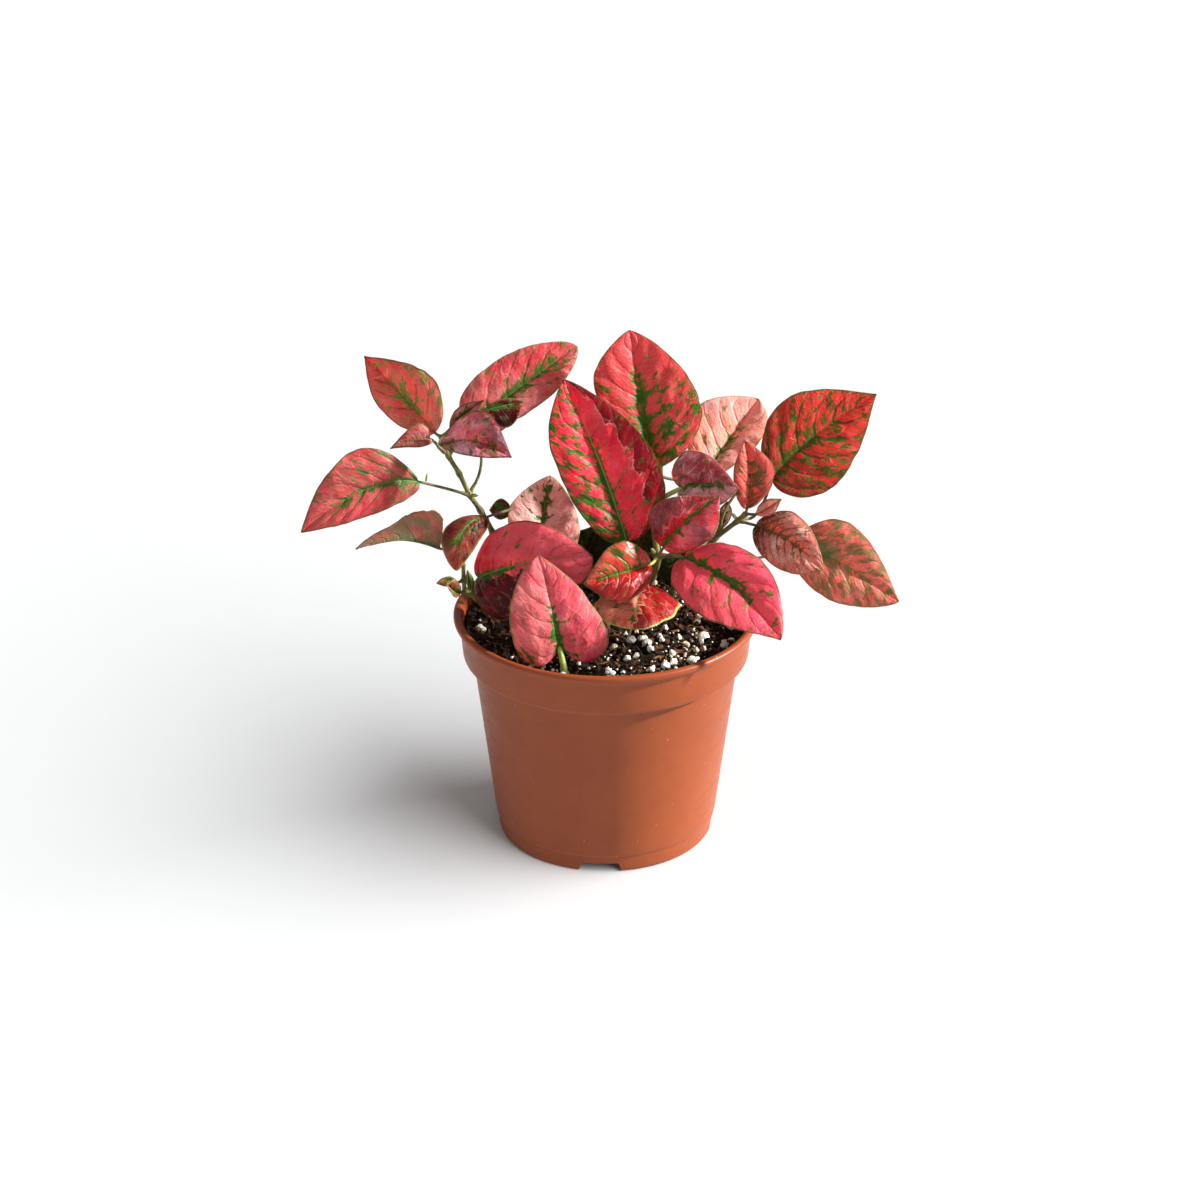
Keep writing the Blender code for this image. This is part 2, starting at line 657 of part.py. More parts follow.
def build_bud(name, plant, skin):
    spec = BUDS[name]
    stem, node = spec["stem"]
    here = Vector(STEMS[stem]["nodes"][node])
    foot = attach(stem, node, here + Vector(spec["along"]), spec["radius"])
    build_cone(name, foot, spec["along"], spec["length"], spec["radius"], plant, skin)


def build_grain(name, height, plant, skin):
    spec = GRAINS[name]
    x, y = spec["at"]
    half = Vector(spec["half"])
    bm = bmesh.new()
    bmesh.ops.create_icosphere(bm, subdivisions=2, radius=1.0)
    for vert in bm.verts:
        bump = noise.noise(vert.co * 1.3 + Vector((x, y, 0)))
        vert.co *= 1 + 0.16 * bump
    low = min(vert.co.z for vert in bm.verts) * half.z
    bmesh.ops.scale(bm, vec=half * MM, verts=bm.verts)
    z = height(x, y) + GAP + 0.1 - low
    bmesh.ops.translate(bm, vec=Vector((x, y, z)) * MM, verts=bm.verts)
    shade_round(mesh_piece(name, bm, plant, skin, origin=(x, y, z)), 60)


def main():
    clear_scene()
    plant = new_collection("potted_polka_dot_plant")
    cutters = new_collection("cutters", hidden=True)
    skins = {name: new_material(name) for name in MATERIALS}
    build_pot(plant, cutters, skins["pot_plastic"])
    soil = build_soil(plant, skins["potting_mix"])
    height = height_finder(soil)
    for name in STEMS:
        build_stem(name, height, plant, skins["stem_skin"])
    for name in LEAVES:
        build_leaf(name, height, plant, skins[SKIN_OF.get(name, "leaf_red")])
    for name in BUDS:
        build_bud(name, plant, skins["bud_skin"])
    build_cone("stub_left_stalk", STALK_STUB["foot"], STALK_STUB["along"], STALK_STUB["length"],
               STALK_STUB["radius"], plant, skins["stem_skin"])
    for name in GRAINS:
        build_grain(name, height, plant, skins["perlite"])
    hold = bpy.data.objects.new("plant_hold", None)
    plant.objects.link(hold)
    for piece in list(plant.objects) + list(cutters.objects):
        if piece is not hold:
            piece.parent = hold


main()
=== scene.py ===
import json
import math
import random

import bmesh
import bpy
from mathutils import Matrix, Vector, noise

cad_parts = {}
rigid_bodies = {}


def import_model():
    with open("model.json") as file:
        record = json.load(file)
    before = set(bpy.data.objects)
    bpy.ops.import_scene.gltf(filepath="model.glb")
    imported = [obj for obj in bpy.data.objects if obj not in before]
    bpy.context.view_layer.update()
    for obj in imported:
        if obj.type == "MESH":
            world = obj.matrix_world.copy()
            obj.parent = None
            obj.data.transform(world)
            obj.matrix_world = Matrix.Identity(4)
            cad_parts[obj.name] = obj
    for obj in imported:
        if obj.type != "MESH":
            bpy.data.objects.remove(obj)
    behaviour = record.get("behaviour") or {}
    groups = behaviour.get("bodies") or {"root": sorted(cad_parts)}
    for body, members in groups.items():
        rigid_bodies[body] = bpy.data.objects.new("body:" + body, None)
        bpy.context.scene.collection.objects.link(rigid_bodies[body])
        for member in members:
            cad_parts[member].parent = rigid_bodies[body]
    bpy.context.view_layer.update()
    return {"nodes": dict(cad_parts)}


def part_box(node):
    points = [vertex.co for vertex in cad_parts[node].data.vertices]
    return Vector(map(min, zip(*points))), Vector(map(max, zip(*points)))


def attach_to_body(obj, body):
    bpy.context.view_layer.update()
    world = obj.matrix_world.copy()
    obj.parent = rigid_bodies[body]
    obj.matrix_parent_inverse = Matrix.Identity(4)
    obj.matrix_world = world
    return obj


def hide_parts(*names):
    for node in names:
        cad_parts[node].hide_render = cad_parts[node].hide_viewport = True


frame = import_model()
mm = 0.001
print("frame loaded,", len(frame["nodes"]), "parts")


# helpers for meshes

def camelName(partName):
    words = partName.split("_")
    return words[0] + "".join(word.capitalize() for word in words[1:])


def newPiece(name, bm, skins, nodes=(), smoothAngle=50):
    # the mesh comes in millimetres and becomes an object at the origin
    bmesh.ops.scale(bm, vec=(mm, mm, mm), verts=bm.verts)
    mesh = bpy.data.meshes.new(name)
    bm.to_mesh(mesh)
    bm.free()
    for skin in skins:
        mesh.materials.append(skin)
    mesh.shade_smooth()
    mesh.set_sharp_from_angle(angle=math.radians(smoothAngle))
    piece = bpy.data.objects.new(name, mesh)
    bpy.context.scene.collection.objects.link(piece)
    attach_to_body(piece, "root")
    if nodes:
        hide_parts(*nodes)
    return piece


def helperObject(name, bm):
    # an object to put modifiers on, gone again once its mesh is finished
    mesh = bpy.data.meshes.new(name)
    bm.to_mesh(mesh)
    bm.free()
    helper = bpy.data.objects.new(name, mesh)
    bpy.context.scene.collection.objects.link(helper)
    return helper


def finished(helper, others=()):
    # the helper's mesh with its modifiers applied, and the helpers cleared away
    bpy.context.view_layer.update()
    result = helper.evaluated_get(bpy.context.evaluated_depsgraph_get())
    solid = bpy.data.meshes.new_from_object(result)
    bm = bmesh.new()
    bm.from_mesh(solid)
    bpy.data.meshes.remove(solid)
    for used in (helper, *others):
        mesh = used.data
        bpy.data.objects.remove(used)
        bpy.data.meshes.remove(mesh)
    return bm


def sweepTube(bm, path, radii, sides=10, skin=0):
    # a round section extruded along a path, closed at both ends
    first = bmesh.ops.create_circle(bm, cap_ends=True, radius=radii[0], segments=sides)["verts"]
    face = first[0].link_faces[0]
    heading = (path[1] - path[0]).normalized()
    turn = Vector((0, 0, 1)).rotation_difference(heading).to_matrix().to_4x4()
    bmesh.ops.transform(bm, matrix=Matrix.Translation(path[0]) @ turn, verts=first)
    rings = list(first)
    for index in range(1, len(path)):
        face = bmesh.ops.extrude_discrete_faces(bm, faces=[face])["faces"][0]
        ahead = (path[min(index + 1, len(path) - 1)] - path[index - 1]).normalized()
        swing = heading.rotation_difference(ahead).to_matrix().to_4x4()
        heading = ahead
        size = Matrix.Scale(radii[index] / radii[index - 1], 4)
        step = Matrix.Translation(path[index]) @ swing @ size @ Matrix.Translation(-path[index - 1])
        bmesh.ops.transform(bm, matrix=step, verts=face.verts)
        rings += face.verts[:]
    rim = {edge for vert in first for edge in vert.link_edges if edge.is_boundary}
    bmesh.ops.contextual_create(bm, geom=list(rim))
    made = {side for vert in rings for side in vert.link_faces}
    for side in made:
        side.material_index = skin
    bmesh.ops.recalc_face_normals(bm, faces=list(made))


def stamp(bm, template, matrix, skin=0):
    # one transformed copy of a small template mesh
    count = len(bm.faces)
    template.transform(matrix)
    bm.from_mesh(template)
    template.transform(matrix.inverted())
    bm.faces.ensure_lookup_table()
    for face in bm.faces[count:]:
        face.material_index = skin


# helpers for materials

leafDepth = 0.9


def tone(red, green, blue):
    # screen colour, 0 to 255, to a linear one
    def level(value):
        value /= 255
        return value / 12.92 if value <= 0.04045 else ((value + 0.055) / 1.055) ** 2.4
    return (level(red), level(green), level(blue), 1.0)


def leafTones(look):
    # leaf colours are picked as they look in full light, so the skin itself is darker
    def darker(colour):
        return tuple(level * leafDepth for level in tone(*colour)[:3]) + (1.0,)
    return {label: darker(value) if isinstance(value, tuple) else value
            for label, value in look.items()}


def feed(tree, socket, value):
    if isinstance(value, bpy.types.NodeSocket):
        tree.links.new(value, socket)
    else:
        socket.default_value = value


def maths(tree, operation, first, second=0.0, third=0.0):
    node = tree.nodes.new("ShaderNodeMath")
    node.operation = operation
    for socket, value in zip(node.inputs, (first, second, third)):
        feed(tree, socket, value)
    return node.outputs[0]


def times(tree, first, second):
    return maths(tree, "MULTIPLY", first, second)


def plus(tree, first, second):
    return maths(tree, "ADD", first, second)


def minus(tree, first, second):
    return maths(tree, "SUBTRACT", first, second)


def timesPlus(tree, first, second, third):
    return maths(tree, "MULTIPLY_ADD", first, second, third)


def ease(tree, value, low, high, start=0.0, end=1.0):
    # start below low, end above high, and a soft step between them
    node = tree.nodes.new("ShaderNodeMapRange")
    node.interpolation_type = "SMOOTHSTEP"
    for name, given in (("Value", value), ("From Min", low), ("From Max", high),
                        ("To Min", start), ("To Max", end)):
        feed(tree, node.inputs[name], given)
    return node.outputs["Result"]


def blendColour(tree, share, first, second, way="MIX"):
    node = tree.nodes.new("ShaderNodeMix")
    node.data_type = "RGBA"
    node.blend_type = way
    feed(tree, node.inputs["Factor"], share)
    feed(tree, node.inputs["A"], first)
    feed(tree, node.inputs["B"], second)
    return node.outputs["Result"]


def cloud(tree, vector, scale, detail=3.0, roughness=0.55, distortion=0.0):
    node = tree.nodes.new("ShaderNodeTexNoise")
    feed(tree, node.inputs["Vector"], vector)
    for name, value in (("Scale", scale), ("Detail", detail), ("Roughness", roughness),
                        ("Distortion", distortion)):
        feed(tree, node.inputs[name], value)
    return node.outputs["Fac"]


def cells(tree, vector, scale, output="Distance"):
    node = tree.nodes.new("ShaderNodeTexVoronoi")
    feed(tree, node.inputs["Vector"], vector)
    feed(tree, node.inputs["Scale"], scale)
    return node.outputs[output]


def packVector(tree, x, y, z=0.0):
    node = tree.nodes.new("ShaderNodeCombineXYZ")
    for socket, value in zip(node.inputs, (x, y, z)):
        feed(tree, socket, value)
    return node.outputs[0]


def splitVector(tree, vector):
    node = tree.nodes.new("ShaderNodeSeparateXYZ")
    feed(tree, node.inputs[0], vector)
    return node.outputs


def uvLayer(tree, name):
    node = tree.nodes.new("ShaderNodeUVMap")
    node.uv_map = name
    return node.outputs["UV"]


def objectPlace(tree):
    return tree.nodes.new("ShaderNodeTexCoord").outputs["Object"]


def newSkin(name):
    skin = bpy.data.materials.new(name)
    skin.use_nodes = True
    return skin, skin.node_tree, skin.node_tree.nodes["Principled BSDF"]


def setShader(shader, values):
    for label, value in values.items():
        shader.inputs[label].default_value = value


def bumpInto(tree, shader, height, distance, strength):
    node = tree.nodes.new("ShaderNodeBump")
    node.inputs["Distance"].default_value = distance
    node.inputs["Strength"].default_value = strength
    feed(tree, node.inputs["Height"], height)
    tree.links.new(node.outputs["Normal"], shader.inputs["Normal"])


def newGroup(name, inputs, outputs):
    group = bpy.data.node_groups.new(name, "ShaderNodeTree")
    kinds = {True: "NodeSocketColor", False: "NodeSocketFloat"}
    for label, value in inputs.items():
        kind = kinds[isinstance(value, tuple)]
        socket = group.interface.new_socket(name=label, in_out="INPUT", socket_type=kind)
        socket.default_value = value
    for label, isColour in outputs.items():
        group.interface.new_socket(name=label, in_out="OUTPUT", socket_type=kinds[isColour])
    start = group.nodes.new("NodeGroupInput")
    end = group.nodes.new("NodeGroupOutput")
    return group, start.outputs, end.inputs


def useGroup(tree, group, values):
    node = tree.nodes.new("ShaderNodeGroup")
    node.node_tree = group
    for label, value in values.items():
        feed(tree, node.inputs[label], value)
    return node.outputs


# leaf colours: one pattern group, its values changed leaf by leaf

leafPatternValues = {
    # screen colours, 0 to 255, as they look in full light
    "flesh": (226, 62, 78),
    "paleFlesh": (240, 118, 122),
    "deepFlesh": (150, 14, 44),
    "green": (62, 106, 28),
    "marginTone": (104, 82, 48),
    "ribTone": (128, 150, 92),
    "veinCount": 6,      # side veins on each half, from the stalk to the tip
    "veinRise": 0.3,     # how far they climb towards the tip on their way out
    "spots": 0.2,        # share of green all over
    "spotsBase": 0.0,    # more of it near the stalk, the tip, the edge and either half
    "spotsTip": 0.0,
    "spotsEdge": 0.0,
    "spotsLeft": 0.0,
    "spotsRight": 0.0,
    "spotSize": 1.0,
    "spotSoft": 1.0,     # above 1 the edges of the green blur
    "ribGreen": 0.75,    # green along the rib, and where along it the green starts and ends
    "ribWidth": 1.2,     # mm
    "ribFrom": 0.0,
    "ribTo": 0.75,
    "feather": 0.5,      # green that runs out along the side veins
    "ribLine": 0.5,      # the pale line on the rib itself
    "pale": 0.45,        # pale and deep flesh all over, then by place
    "paleTip": 0.0,
    "paleBase": 0.0,
    "paleLeft": 0.0,
    "paleRight": 0.0,
    "deep": 0.25,
    # the next two paint shade on one half, where it turns from the light
    "deepLeft": 0.0,
    "deepRight": 0.0,
    # deeper flesh near the stalk, partly painted shade in the cupped base
    "deepBase": 0.0,
    "foldAt": 0.5,       # the painted shade on one half starts here, as a share of the half-width
    "foldTo": 1.2,       # and reaches this far along the rib
    "margin": 0.8,       # mm
    "veinShade": 0.25,
    "crease": 0.2,       # thin pale lines along the side veins
    "hairs": 0.0,        # short pale hairs all over, and near the stalk
    "hairsBase": 0.0,
    "satin": 0.42,       # roughness
}


def buildLeafPattern():
    tree, given, result = newGroup("leafPattern", leafTones(leafPatternValues),
                                   {"Colour": True, "Roughness": False, "Height": False})
    blade = splitVector(tree, uvLayer(tree, "blade"))
    share = splitVector(tree, uvLayer(tree, "share"))
    lateral = times(tree, minus(tree, blade[0], 0.5), 100.0)
    along = times(tree, blade[1], 100.0)
    sideways = timesPlus(tree, share[0], 2.0, -1.0)
    s = maths(tree, "ABSOLUTE", sideways)
    t = share[1]
    reach = maths(tree, "ABSOLUTE", lateral)
    isRight = ease(tree, sideways, -0.08, 0.08)
    isLeft = minus(tree, 1.0, isRight)

    # side veins rise from the rib towards the tip
    wander = timesPlus(tree, cloud(tree, packVector(tree, lateral, along), 0.12), 0.5, -0.25)
    rise = times(tree, maths(tree, "POWER", s, 1.25), given["veinRise"])
    order = times(tree, minus(tree, t, rise), given["veinCount"])
    order = plus(tree, order, wander)
    fromVein = maths(tree, "PINGPONG", order, 0.5)
    fade = minus(tree, 1.0, times(tree, times(tree, s, s), 0.75))
    vein = times(tree, ease(tree, fromVein, 0.0, 0.13, 1.0, 0.0), fade)
    thinVein = times(tree, ease(tree, fromVein, 0.0, 0.05, 1.0, 0.0), fade)

    # green splashes, drawn out along the side veins
    across = minus(tree, along, times(tree, reach, 0.5))
    streaks = packVector(tree, times(tree, lateral, 0.85), across)
    spotScale = maths(tree, "DIVIDE", 0.27, given["spotSize"])
    splash = cloud(tree, streaks, spotScale, 4.0, 0.62, 0.2)
    # broken up into small patches, as the veinlets bound them
    shiver = tree.nodes.new("ShaderNodeTexNoise")
    shiver.inputs["Scale"].default_value = 0.9
    shiver.inputs["Detail"].default_value = 3.0
    feed(tree, shiver.inputs["Vector"], streaks)
    jitter = tree.nodes.new("ShaderNodeVectorMath")
    jitter.operation = "MULTIPLY_ADD"
    feed(tree, jitter.inputs[0], shiver.outputs["Color"])
    jitter.inputs[1].default_value = (1.6, 1.6, 0.0)
    feed(tree, jitter.inputs[2], streaks)
    patchSize = maths(tree, "DIVIDE", 0.75, given["spotSize"])
    patch = splitVector(tree, cells(tree, jitter.outputs[0], patchSize, "Color"))[0]
    splash = timesPlus(tree, patch, 0.2, timesPlus(tree, splash, 0.85, -0.03))
    ribNear = maths(tree, "DIVIDE", reach, given["ribWidth"])
    ribNear = maths(tree, "EXPONENT", times(tree, times(tree, ribNear, ribNear), -1.0))
    fromLow = minus(tree, given["ribFrom"], 0.08)
    fromHigh = plus(tree, given["ribFrom"], 0.05)
    toLow = minus(tree, given["ribTo"], 0.14)
    toHigh = plus(tree, given["ribTo"], 0.06)
    window = times(tree, ease(tree, t, fromLow, fromHigh), ease(tree, t, toLow, toHigh, 1.0, 0.0))
    ribPart = times(tree, times(tree, ribNear, window), given["ribGreen"])
    spread = maths(tree, "EXPONENT", times(tree, reach, -0.22))
    featherPart = times(tree, times(tree, vein, spread), given["feather"])
    featherPart = times(tree, featherPart, window)
    low = minus(tree, 1.0, t)
    amount = plus(tree, given["spots"], plus(tree, ribPart, featherPart))
    for where, label in ((times(tree, low, low), "spotsBase"),
                         (times(tree, t, t), "spotsTip"),
                         (maths(tree, "POWER", s, 3.0), "spotsEdge"),
                         (isLeft, "spotsLeft"), (isRight, "spotsRight")):
        amount = timesPlus(tree, where, given[label], amount)
    over = minus(tree, timesPlus(tree, amount, 0.32, splash), 0.66)
    over = maths(tree, "DIVIDE", over, given["spotSoft"])
    green = ease(tree, over, -0.012, 0.018)
    core = ease(tree, over, 0.0, 0.11)

    # flesh: broad pale and deep zones, some of the deep ones painted shade, then fine mottle
    flat = packVector(tree, lateral, along)
    broad = cloud(tree, flat, 0.055, 2.0, 0.5)
    middling = cloud(tree, flat, 0.23, 3.0, 0.6)
    fine = cloud(tree, flat, 1.7, 2.0, 0.6)
    zone = timesPlus(tree, broad, 0.6, times(tree, middling, 0.4))
    zone = plus(tree, zone, timesPlus(tree, given["pale"], 0.6, -0.3))
    for where, label in ((t, "paleTip"), (low, "paleBase"), (isLeft, "paleLeft"), (isRight, "paleRight")):
        zone = timesPlus(tree, where, given[label], zone)
    colour = blendColour(tree, ease(tree, zone, 0.36, 0.72), given["flesh"], given["paleFlesh"])
    hollow = cloud(tree, packVector(tree, lateral, along, 31.0), 0.09, 3.0, 0.55)
    deepAndShadeZone = times(tree, ease(tree, hollow, 0.42, 0.7), given["deep"])
    # one side of a fold line is painted in shade, as where the blade turns from the light, and a pale
    # crease runs along the line
    jag = timesPlus(tree, middling, 0.55, timesPlus(tree, fromVein, 0.3, -0.35))
    folded = minus(tree, plus(tree, s, jag), given["foldAt"])
    beyond = ease(tree, folded, -0.03, 0.05)
    foldShade = plus(tree, times(tree, isLeft, given["deepLeft"]),
                    times(tree, isRight, given["deepRight"]))
    untilLow = minus(tree, given["foldTo"], 0.1)
    untilHigh = plus(tree, given["foldTo"], 0.1)
    until = ease(tree, timesPlus(tree, jag, 0.6, t), untilLow, untilHigh, 1.0, 0.0)
    foldShade = times(tree, foldShade, until)
    deepAndShadeZone = timesPlus(tree, beyond, foldShade, deepAndShadeZone)
    # deeper near the stalk, partly painted shade in the cupped base
    basePart = ease(tree, timesPlus(tree, hollow, 0.5, t), 0.3, 0.7, 1.0, 0.0)
    deepAndShadeZone = timesPlus(tree, basePart, given["deepBase"], deepAndShadeZone)
    deepAndShadeZone = maths(tree, "MINIMUM", deepAndShadeZone, 1.0)
    colour = blendColour(tree, deepAndShadeZone, colour, given["deepFlesh"])
    broken = ease(tree, middling, 0.42, 0.6)
    shadeVein = times(tree, vein, timesPlus(tree, broken, -0.8, 1.0))
    colour = blendColour(tree, times(tree, shadeVein, given["veinShade"]), colour, given["deepFlesh"])
    lighter = blendColour(tree, 0.3, given["paleFlesh"], (1.0, 0.7, 0.5, 1.0))
    # cream flecks and soft creases that wander off the veins
    fleck = ease(tree, cloud(tree, streaks, 0.42, 4.0, 0.66, 0.3), 0.56, 0.7)
    fleck = times(tree, fleck, times(tree, given["pale"], 0.6))
    colour = blendColour(tree, fleck, colour, lighter)
    contour = cloud(tree, packVector(tree, times(tree, lateral, 0.8), across, 17.0), 0.1, 1.0, 0.4, 0.2)
    wrinkle = ease(tree, maths(tree, "ABSOLUTE", minus(tree, contour, 0.5)), 0.0, 0.012, 0.8, 0.0)
    creasePart = maths(tree, "MAXIMUM", times(tree, thinVein, broken),
                       times(tree, wrinkle, ease(tree, middling, 0.4, 0.55)))
    colour = blendColour(tree, times(tree, creasePart, given["crease"]), colour, lighter)
    foldLine = ease(tree, maths(tree, "ABSOLUTE", plus(tree, folded, 0.01)), 0.0, 0.035, 1.0, 0.0)
    foldLine = times(tree, times(tree, foldLine, foldShade), ease(tree, middling, 0.38, 0.56))
    colour = blendColour(tree, maths(tree, "MINIMUM", foldLine, 0.65), colour, lighter)
    strands = packVector(tree, times(tree, lateral, 0.5), times(tree, across, 2.6))
    hairPart = ease(tree, cloud(tree, strands, 1.1, 3.0, 0.7, 0.2), 0.56, 0.7)
    hairs = timesPlus(tree, times(tree, low, low), given["hairsBase"], given["hairs"])
    hairPart = times(tree, hairPart, hairs)
    colour = blendColour(tree, maths(tree, "MINIMUM", hairPart, 1.0), colour, lighter)

    # green over the flesh, olive where it thins
    olive = blendColour(tree, 0.36, given["green"], colour)
    dark = blendColour(tree, 0.35, given["green"], (0.01, 0.04, 0.004, 1.0))
    leafGreen = blendColour(tree, ease(tree, middling, 0.4, 0.68), given["green"], dark)
    leafGreen = blendColour(tree, core, olive, leafGreen)
    colour = blendColour(tree, green, colour, leafGreen)
    speck = ease(tree, fine, 0.3, 0.7, 0.86, 1.1)
    colour = blendColour(tree, 1.0, colour, packVector(tree, speck, speck, speck), "MULTIPLY")

    # thin edge line and the pale line on the rib
    halfWidth = maths(tree, "DIVIDE", reach, maths(tree, "MAXIMUM", s, 0.05))
    toEdge = times(tree, halfWidth, minus(tree, 1.0, s))
    toEdge = plus(tree, toEdge, timesPlus(tree, middling, 0.8, -0.4))
    edge = ease(tree, toEdge, times(tree, given["margin"], 0.35), given["margin"], 0.9, 0.0)
    colour = blendColour(tree, edge, colour, given["marginTone"])
    line = times(tree, ease(tree, reach, 0.16, 0.42, 1.0, 0.0), ease(tree, t, 0.6, 0.95, 1.0, 0.0))
    line = times(tree, line, given["ribLine"])
    colour = blendColour(tree, line, colour, given["ribTone"])

    puckers = cells(tree, streaks, 0.85)
    height = timesPlus(tree, vein, -0.55, times(tree, puckers, 0.45))
    height = timesPlus(tree, wrinkle, 0.35, height)
    height = timesPlus(tree, middling, 0.5, height)
    height = timesPlus(tree, fine, 0.12, height)
    height = timesPlus(tree, hairPart, 0.5, height)
    rough = timesPlus(tree, middling, 0.14, minus(tree, given["satin"], 0.07))
    rough = timesPlus(tree, green, 0.05, rough)
    feed(tree, result["Colour"], colour)
    feed(tree, result["Roughness"], rough)
    feed(tree, result["Height"], height)
    return tree


leafPattern = buildLeafPattern()


def leafSkin(name, look, finish):
    skin, tree, shader = newSkin(name)
    out = useGroup(tree, leafPattern, leafTones(look))
    feed(tree, shader.inputs["Base Color"], out["Colour"])
    feed(tree, shader.inputs["Roughness"], out["Roughness"])
    bumpInto(tree, shader, out["Height"], finish["bumpDepth"], finish["bump"])
    setShader(shader, {
        "Subsurface Weight": finish["glow"], "Subsurface Radius": finish["glowReach"],
        "Subsurface Scale": finish["glowScale"], "Specular IOR Level": finish["shine"],
        "Sheen Weight": finish["sheen"], "Sheen Roughness": finish["sheenRough"],
        "Coat Weight": finish["coat"], "Coat Roughness": finish["coatRough"]})
    return skin


# light runs through the thin flesh, red furthest; lengths in metres
upperFinish = {"bump": 0.85, "bumpDepth": 0.0004, "glow": 0.8, "glowScale": 0.33,
               "glowReach": (0.004, 0.0013, 0.0011), "shine": 0.15, "sheen": 0.0,
               "sheenRough": 0.45, "coat": 0.0, "coatRough": 0.32}
underFinish = {**upperFinish, "bump": 0.5, "shine": 0.2, "sheen": 0.06}

underLooks = {
    "rose": {"flesh": (186, 104, 100), "paleFlesh": (212, 150, 136), "deepFlesh": (140, 60, 66),
             "green": (92, 100, 66), "marginTone": (120, 92, 66), "ribTone": (150, 160, 106),
             "spots": 0.3, "spotSoft": 3, "ribLine": 0, "crease": 0.1, "satin": 0.58},
    "maroon": {"flesh": (120, 44, 56), "paleFlesh": (150, 78, 84), "deepFlesh": (74, 20, 34),
               "green": (70, 74, 52), "marginTone": (92, 66, 54), "ribTone": (130, 140, 92),
               "spots": 0.3, "spotSoft": 3, "ribLine": 0, "crease": 0.1, "satin": 0.55},
    "grey": {"flesh": (186, 96, 84), "paleFlesh": (206, 134, 124), "deepFlesh": (150, 62, 58),
             "green": (116, 126, 84), "marginTone": (140, 78, 62), "ribTone": (150, 148, 104),
             "spots": 0.66, "spotSize": 1.9, "spotSoft": 5, "ribLine": 0, "crease": 0.15,
             "satin": 0.6},
}
underSkins = {name: leafSkin("leafUnder" + name.capitalize(), look, underFinish)
              for name, look in underLooks.items()}


# stalk and stem skin

def buildStalkSkin(name, look):
    skin, tree, shader = newSkin(name)
    place = objectPlace(tree)
    soft = cloud(tree, place, 160.0, 3.0, 0.6)
    fine = cloud(tree, place, 1500.0, 2.0, 0.6)
    colour = blendColour(tree, ease(tree, soft, 0.35, 0.65), look["light"], look["dark"])
    blush = ease(tree, cloud(tree, place, 420.0, 4.0, 0.7), 0.5, 0.68, 0.0, 0.7)
    colour = blendColour(tree, blush, colour, look["blush"])
    down = ease(tree, fine, 0.35, 0.7, 0.0, 0.25)
    colour = blendColour(tree, down, colour, look["down"])
    feed(tree, shader.inputs["Base Color"], colour)
    feed(tree, shader.inputs["Roughness"], ease(tree, soft, 0.3, 0.7, 0.42, 0.56))
    bumpInto(tree, shader, timesPlus(tree, soft, 0.6, fine), 0.00015, 0.5)
    setShader(shader, {
        "Subsurface Weight": 0.1, "Subsurface Radius": (0.002, 0.0016, 0.0006),
        "Subsurface Scale": 0.3, "Specular IOR Level": 0.3, "Sheen Weight": 0.08})
    return skin


stalkLooks = {
    "stem": {"light": tone(124, 118, 50), "dark": tone(68, 70, 28),
             "blush": tone(104, 60, 38), "down": tone(170, 160, 108)},
    "stalk": {"light": tone(104, 106, 48), "dark": tone(62, 58, 28),
              "blush": tone(112, 50, 42), "down": tone(160, 146, 104)},
    "freshStalk": {"light": tone(176, 192, 78), "dark": tone(118, 144, 50),
                   "blush": tone(150, 150, 70), "down": tone(214, 214, 160)},
}
stalkSkins = {name: buildStalkSkin(name + "Skin", look) for name, look in stalkLooks.items()}
print("leaf and stem finishes built")


# stems: foot on the mix, then the nodes where leaves grow, up to the tip; in mm

stemSpecs = {
    "stem_left": {
        "foot": (-29, 17, 75.2), "radius": 1.0, "swell": 0.42,
        "nodes": [(-31.5, 16, 82.5), (-39, 12, 106), (-43, 11.5, 114.5), (-46.5, 11, 120.5),
                  (-50, 11, 128.5), (-53.5, 10, 135.5), (-55.5, 9, 142.5)],
    },
    "stem_lower_left": {
        "foot": (-39, 6, 75), "radius": 0.9, "swell": 0.3,
        "nodes": [(-41.5, 4, 80), (-44.5, 0, 86.5), (-48, -2, 90.5), (-48.5, -3, 95),
                  (-48.5, -4, 101.5)],
    },
    "stem_middle_left": {
        "foot": (-22, 20, 75.2), "radius": 1.0, "swell": 0.35,
        "nodes": [(-23, 18, 80), (-24.5, 16, 97.5), (-26.5, 14, 116.5)],
    },
    "stem_centre": {
        "foot": (13.5, 7, 75.3), "radius": 1.3, "swell": 0.35,
        "nodes": [(14.5, 4, 86), (16, 0.5, 95), (17.5, -3, 103.5), (15.5, 4, 120),
                  (16.5, 9, 129)],
    },
    "stem_right": {
        "foot": (19.5, 9, 75.3), "radius": 1.1, "swell": 0.4,
        "nodes": [(23, 6.5, 86), (31.5, 4, 100), (37, 3, 107.5), (45, 3, 114.5), (47.5, 3, 117)],
    },
}
stemShape = {
    "sunk": 1.5,          # mm that the foot goes down into the mix
    "thickness": 0.92,    # of the given radius, as the skin lies inside the solid
    "footWidth": 1.12,    # wider at the foot, then thinner by this much up to the tip
    "taper": 0.3,
    "swellReach": 1.3,    # mm either way from a node
}


def smoothPath(points, step=0.8):
    # closely spaced points on a smooth curve through the given ones
    path = []
    ends = [points[0] * 2 - points[1]] + points + [points[-1] * 2 - points[-2]]
    for index in range(1, len(ends) - 2):
        before, start, end, after = ends[index - 1:index + 3]
        count = max(2, round((end - start).length / step))
        for part in range(count):
            u = part / count
            path.append(0.5 * (2 * start + (end - before) * u
                               + (2 * before - 5 * start + 4 * end - after) * u ** 2
                               + (3 * start - before - 3 * end + after) * u ** 3))
    return path + [points[-1].copy()]


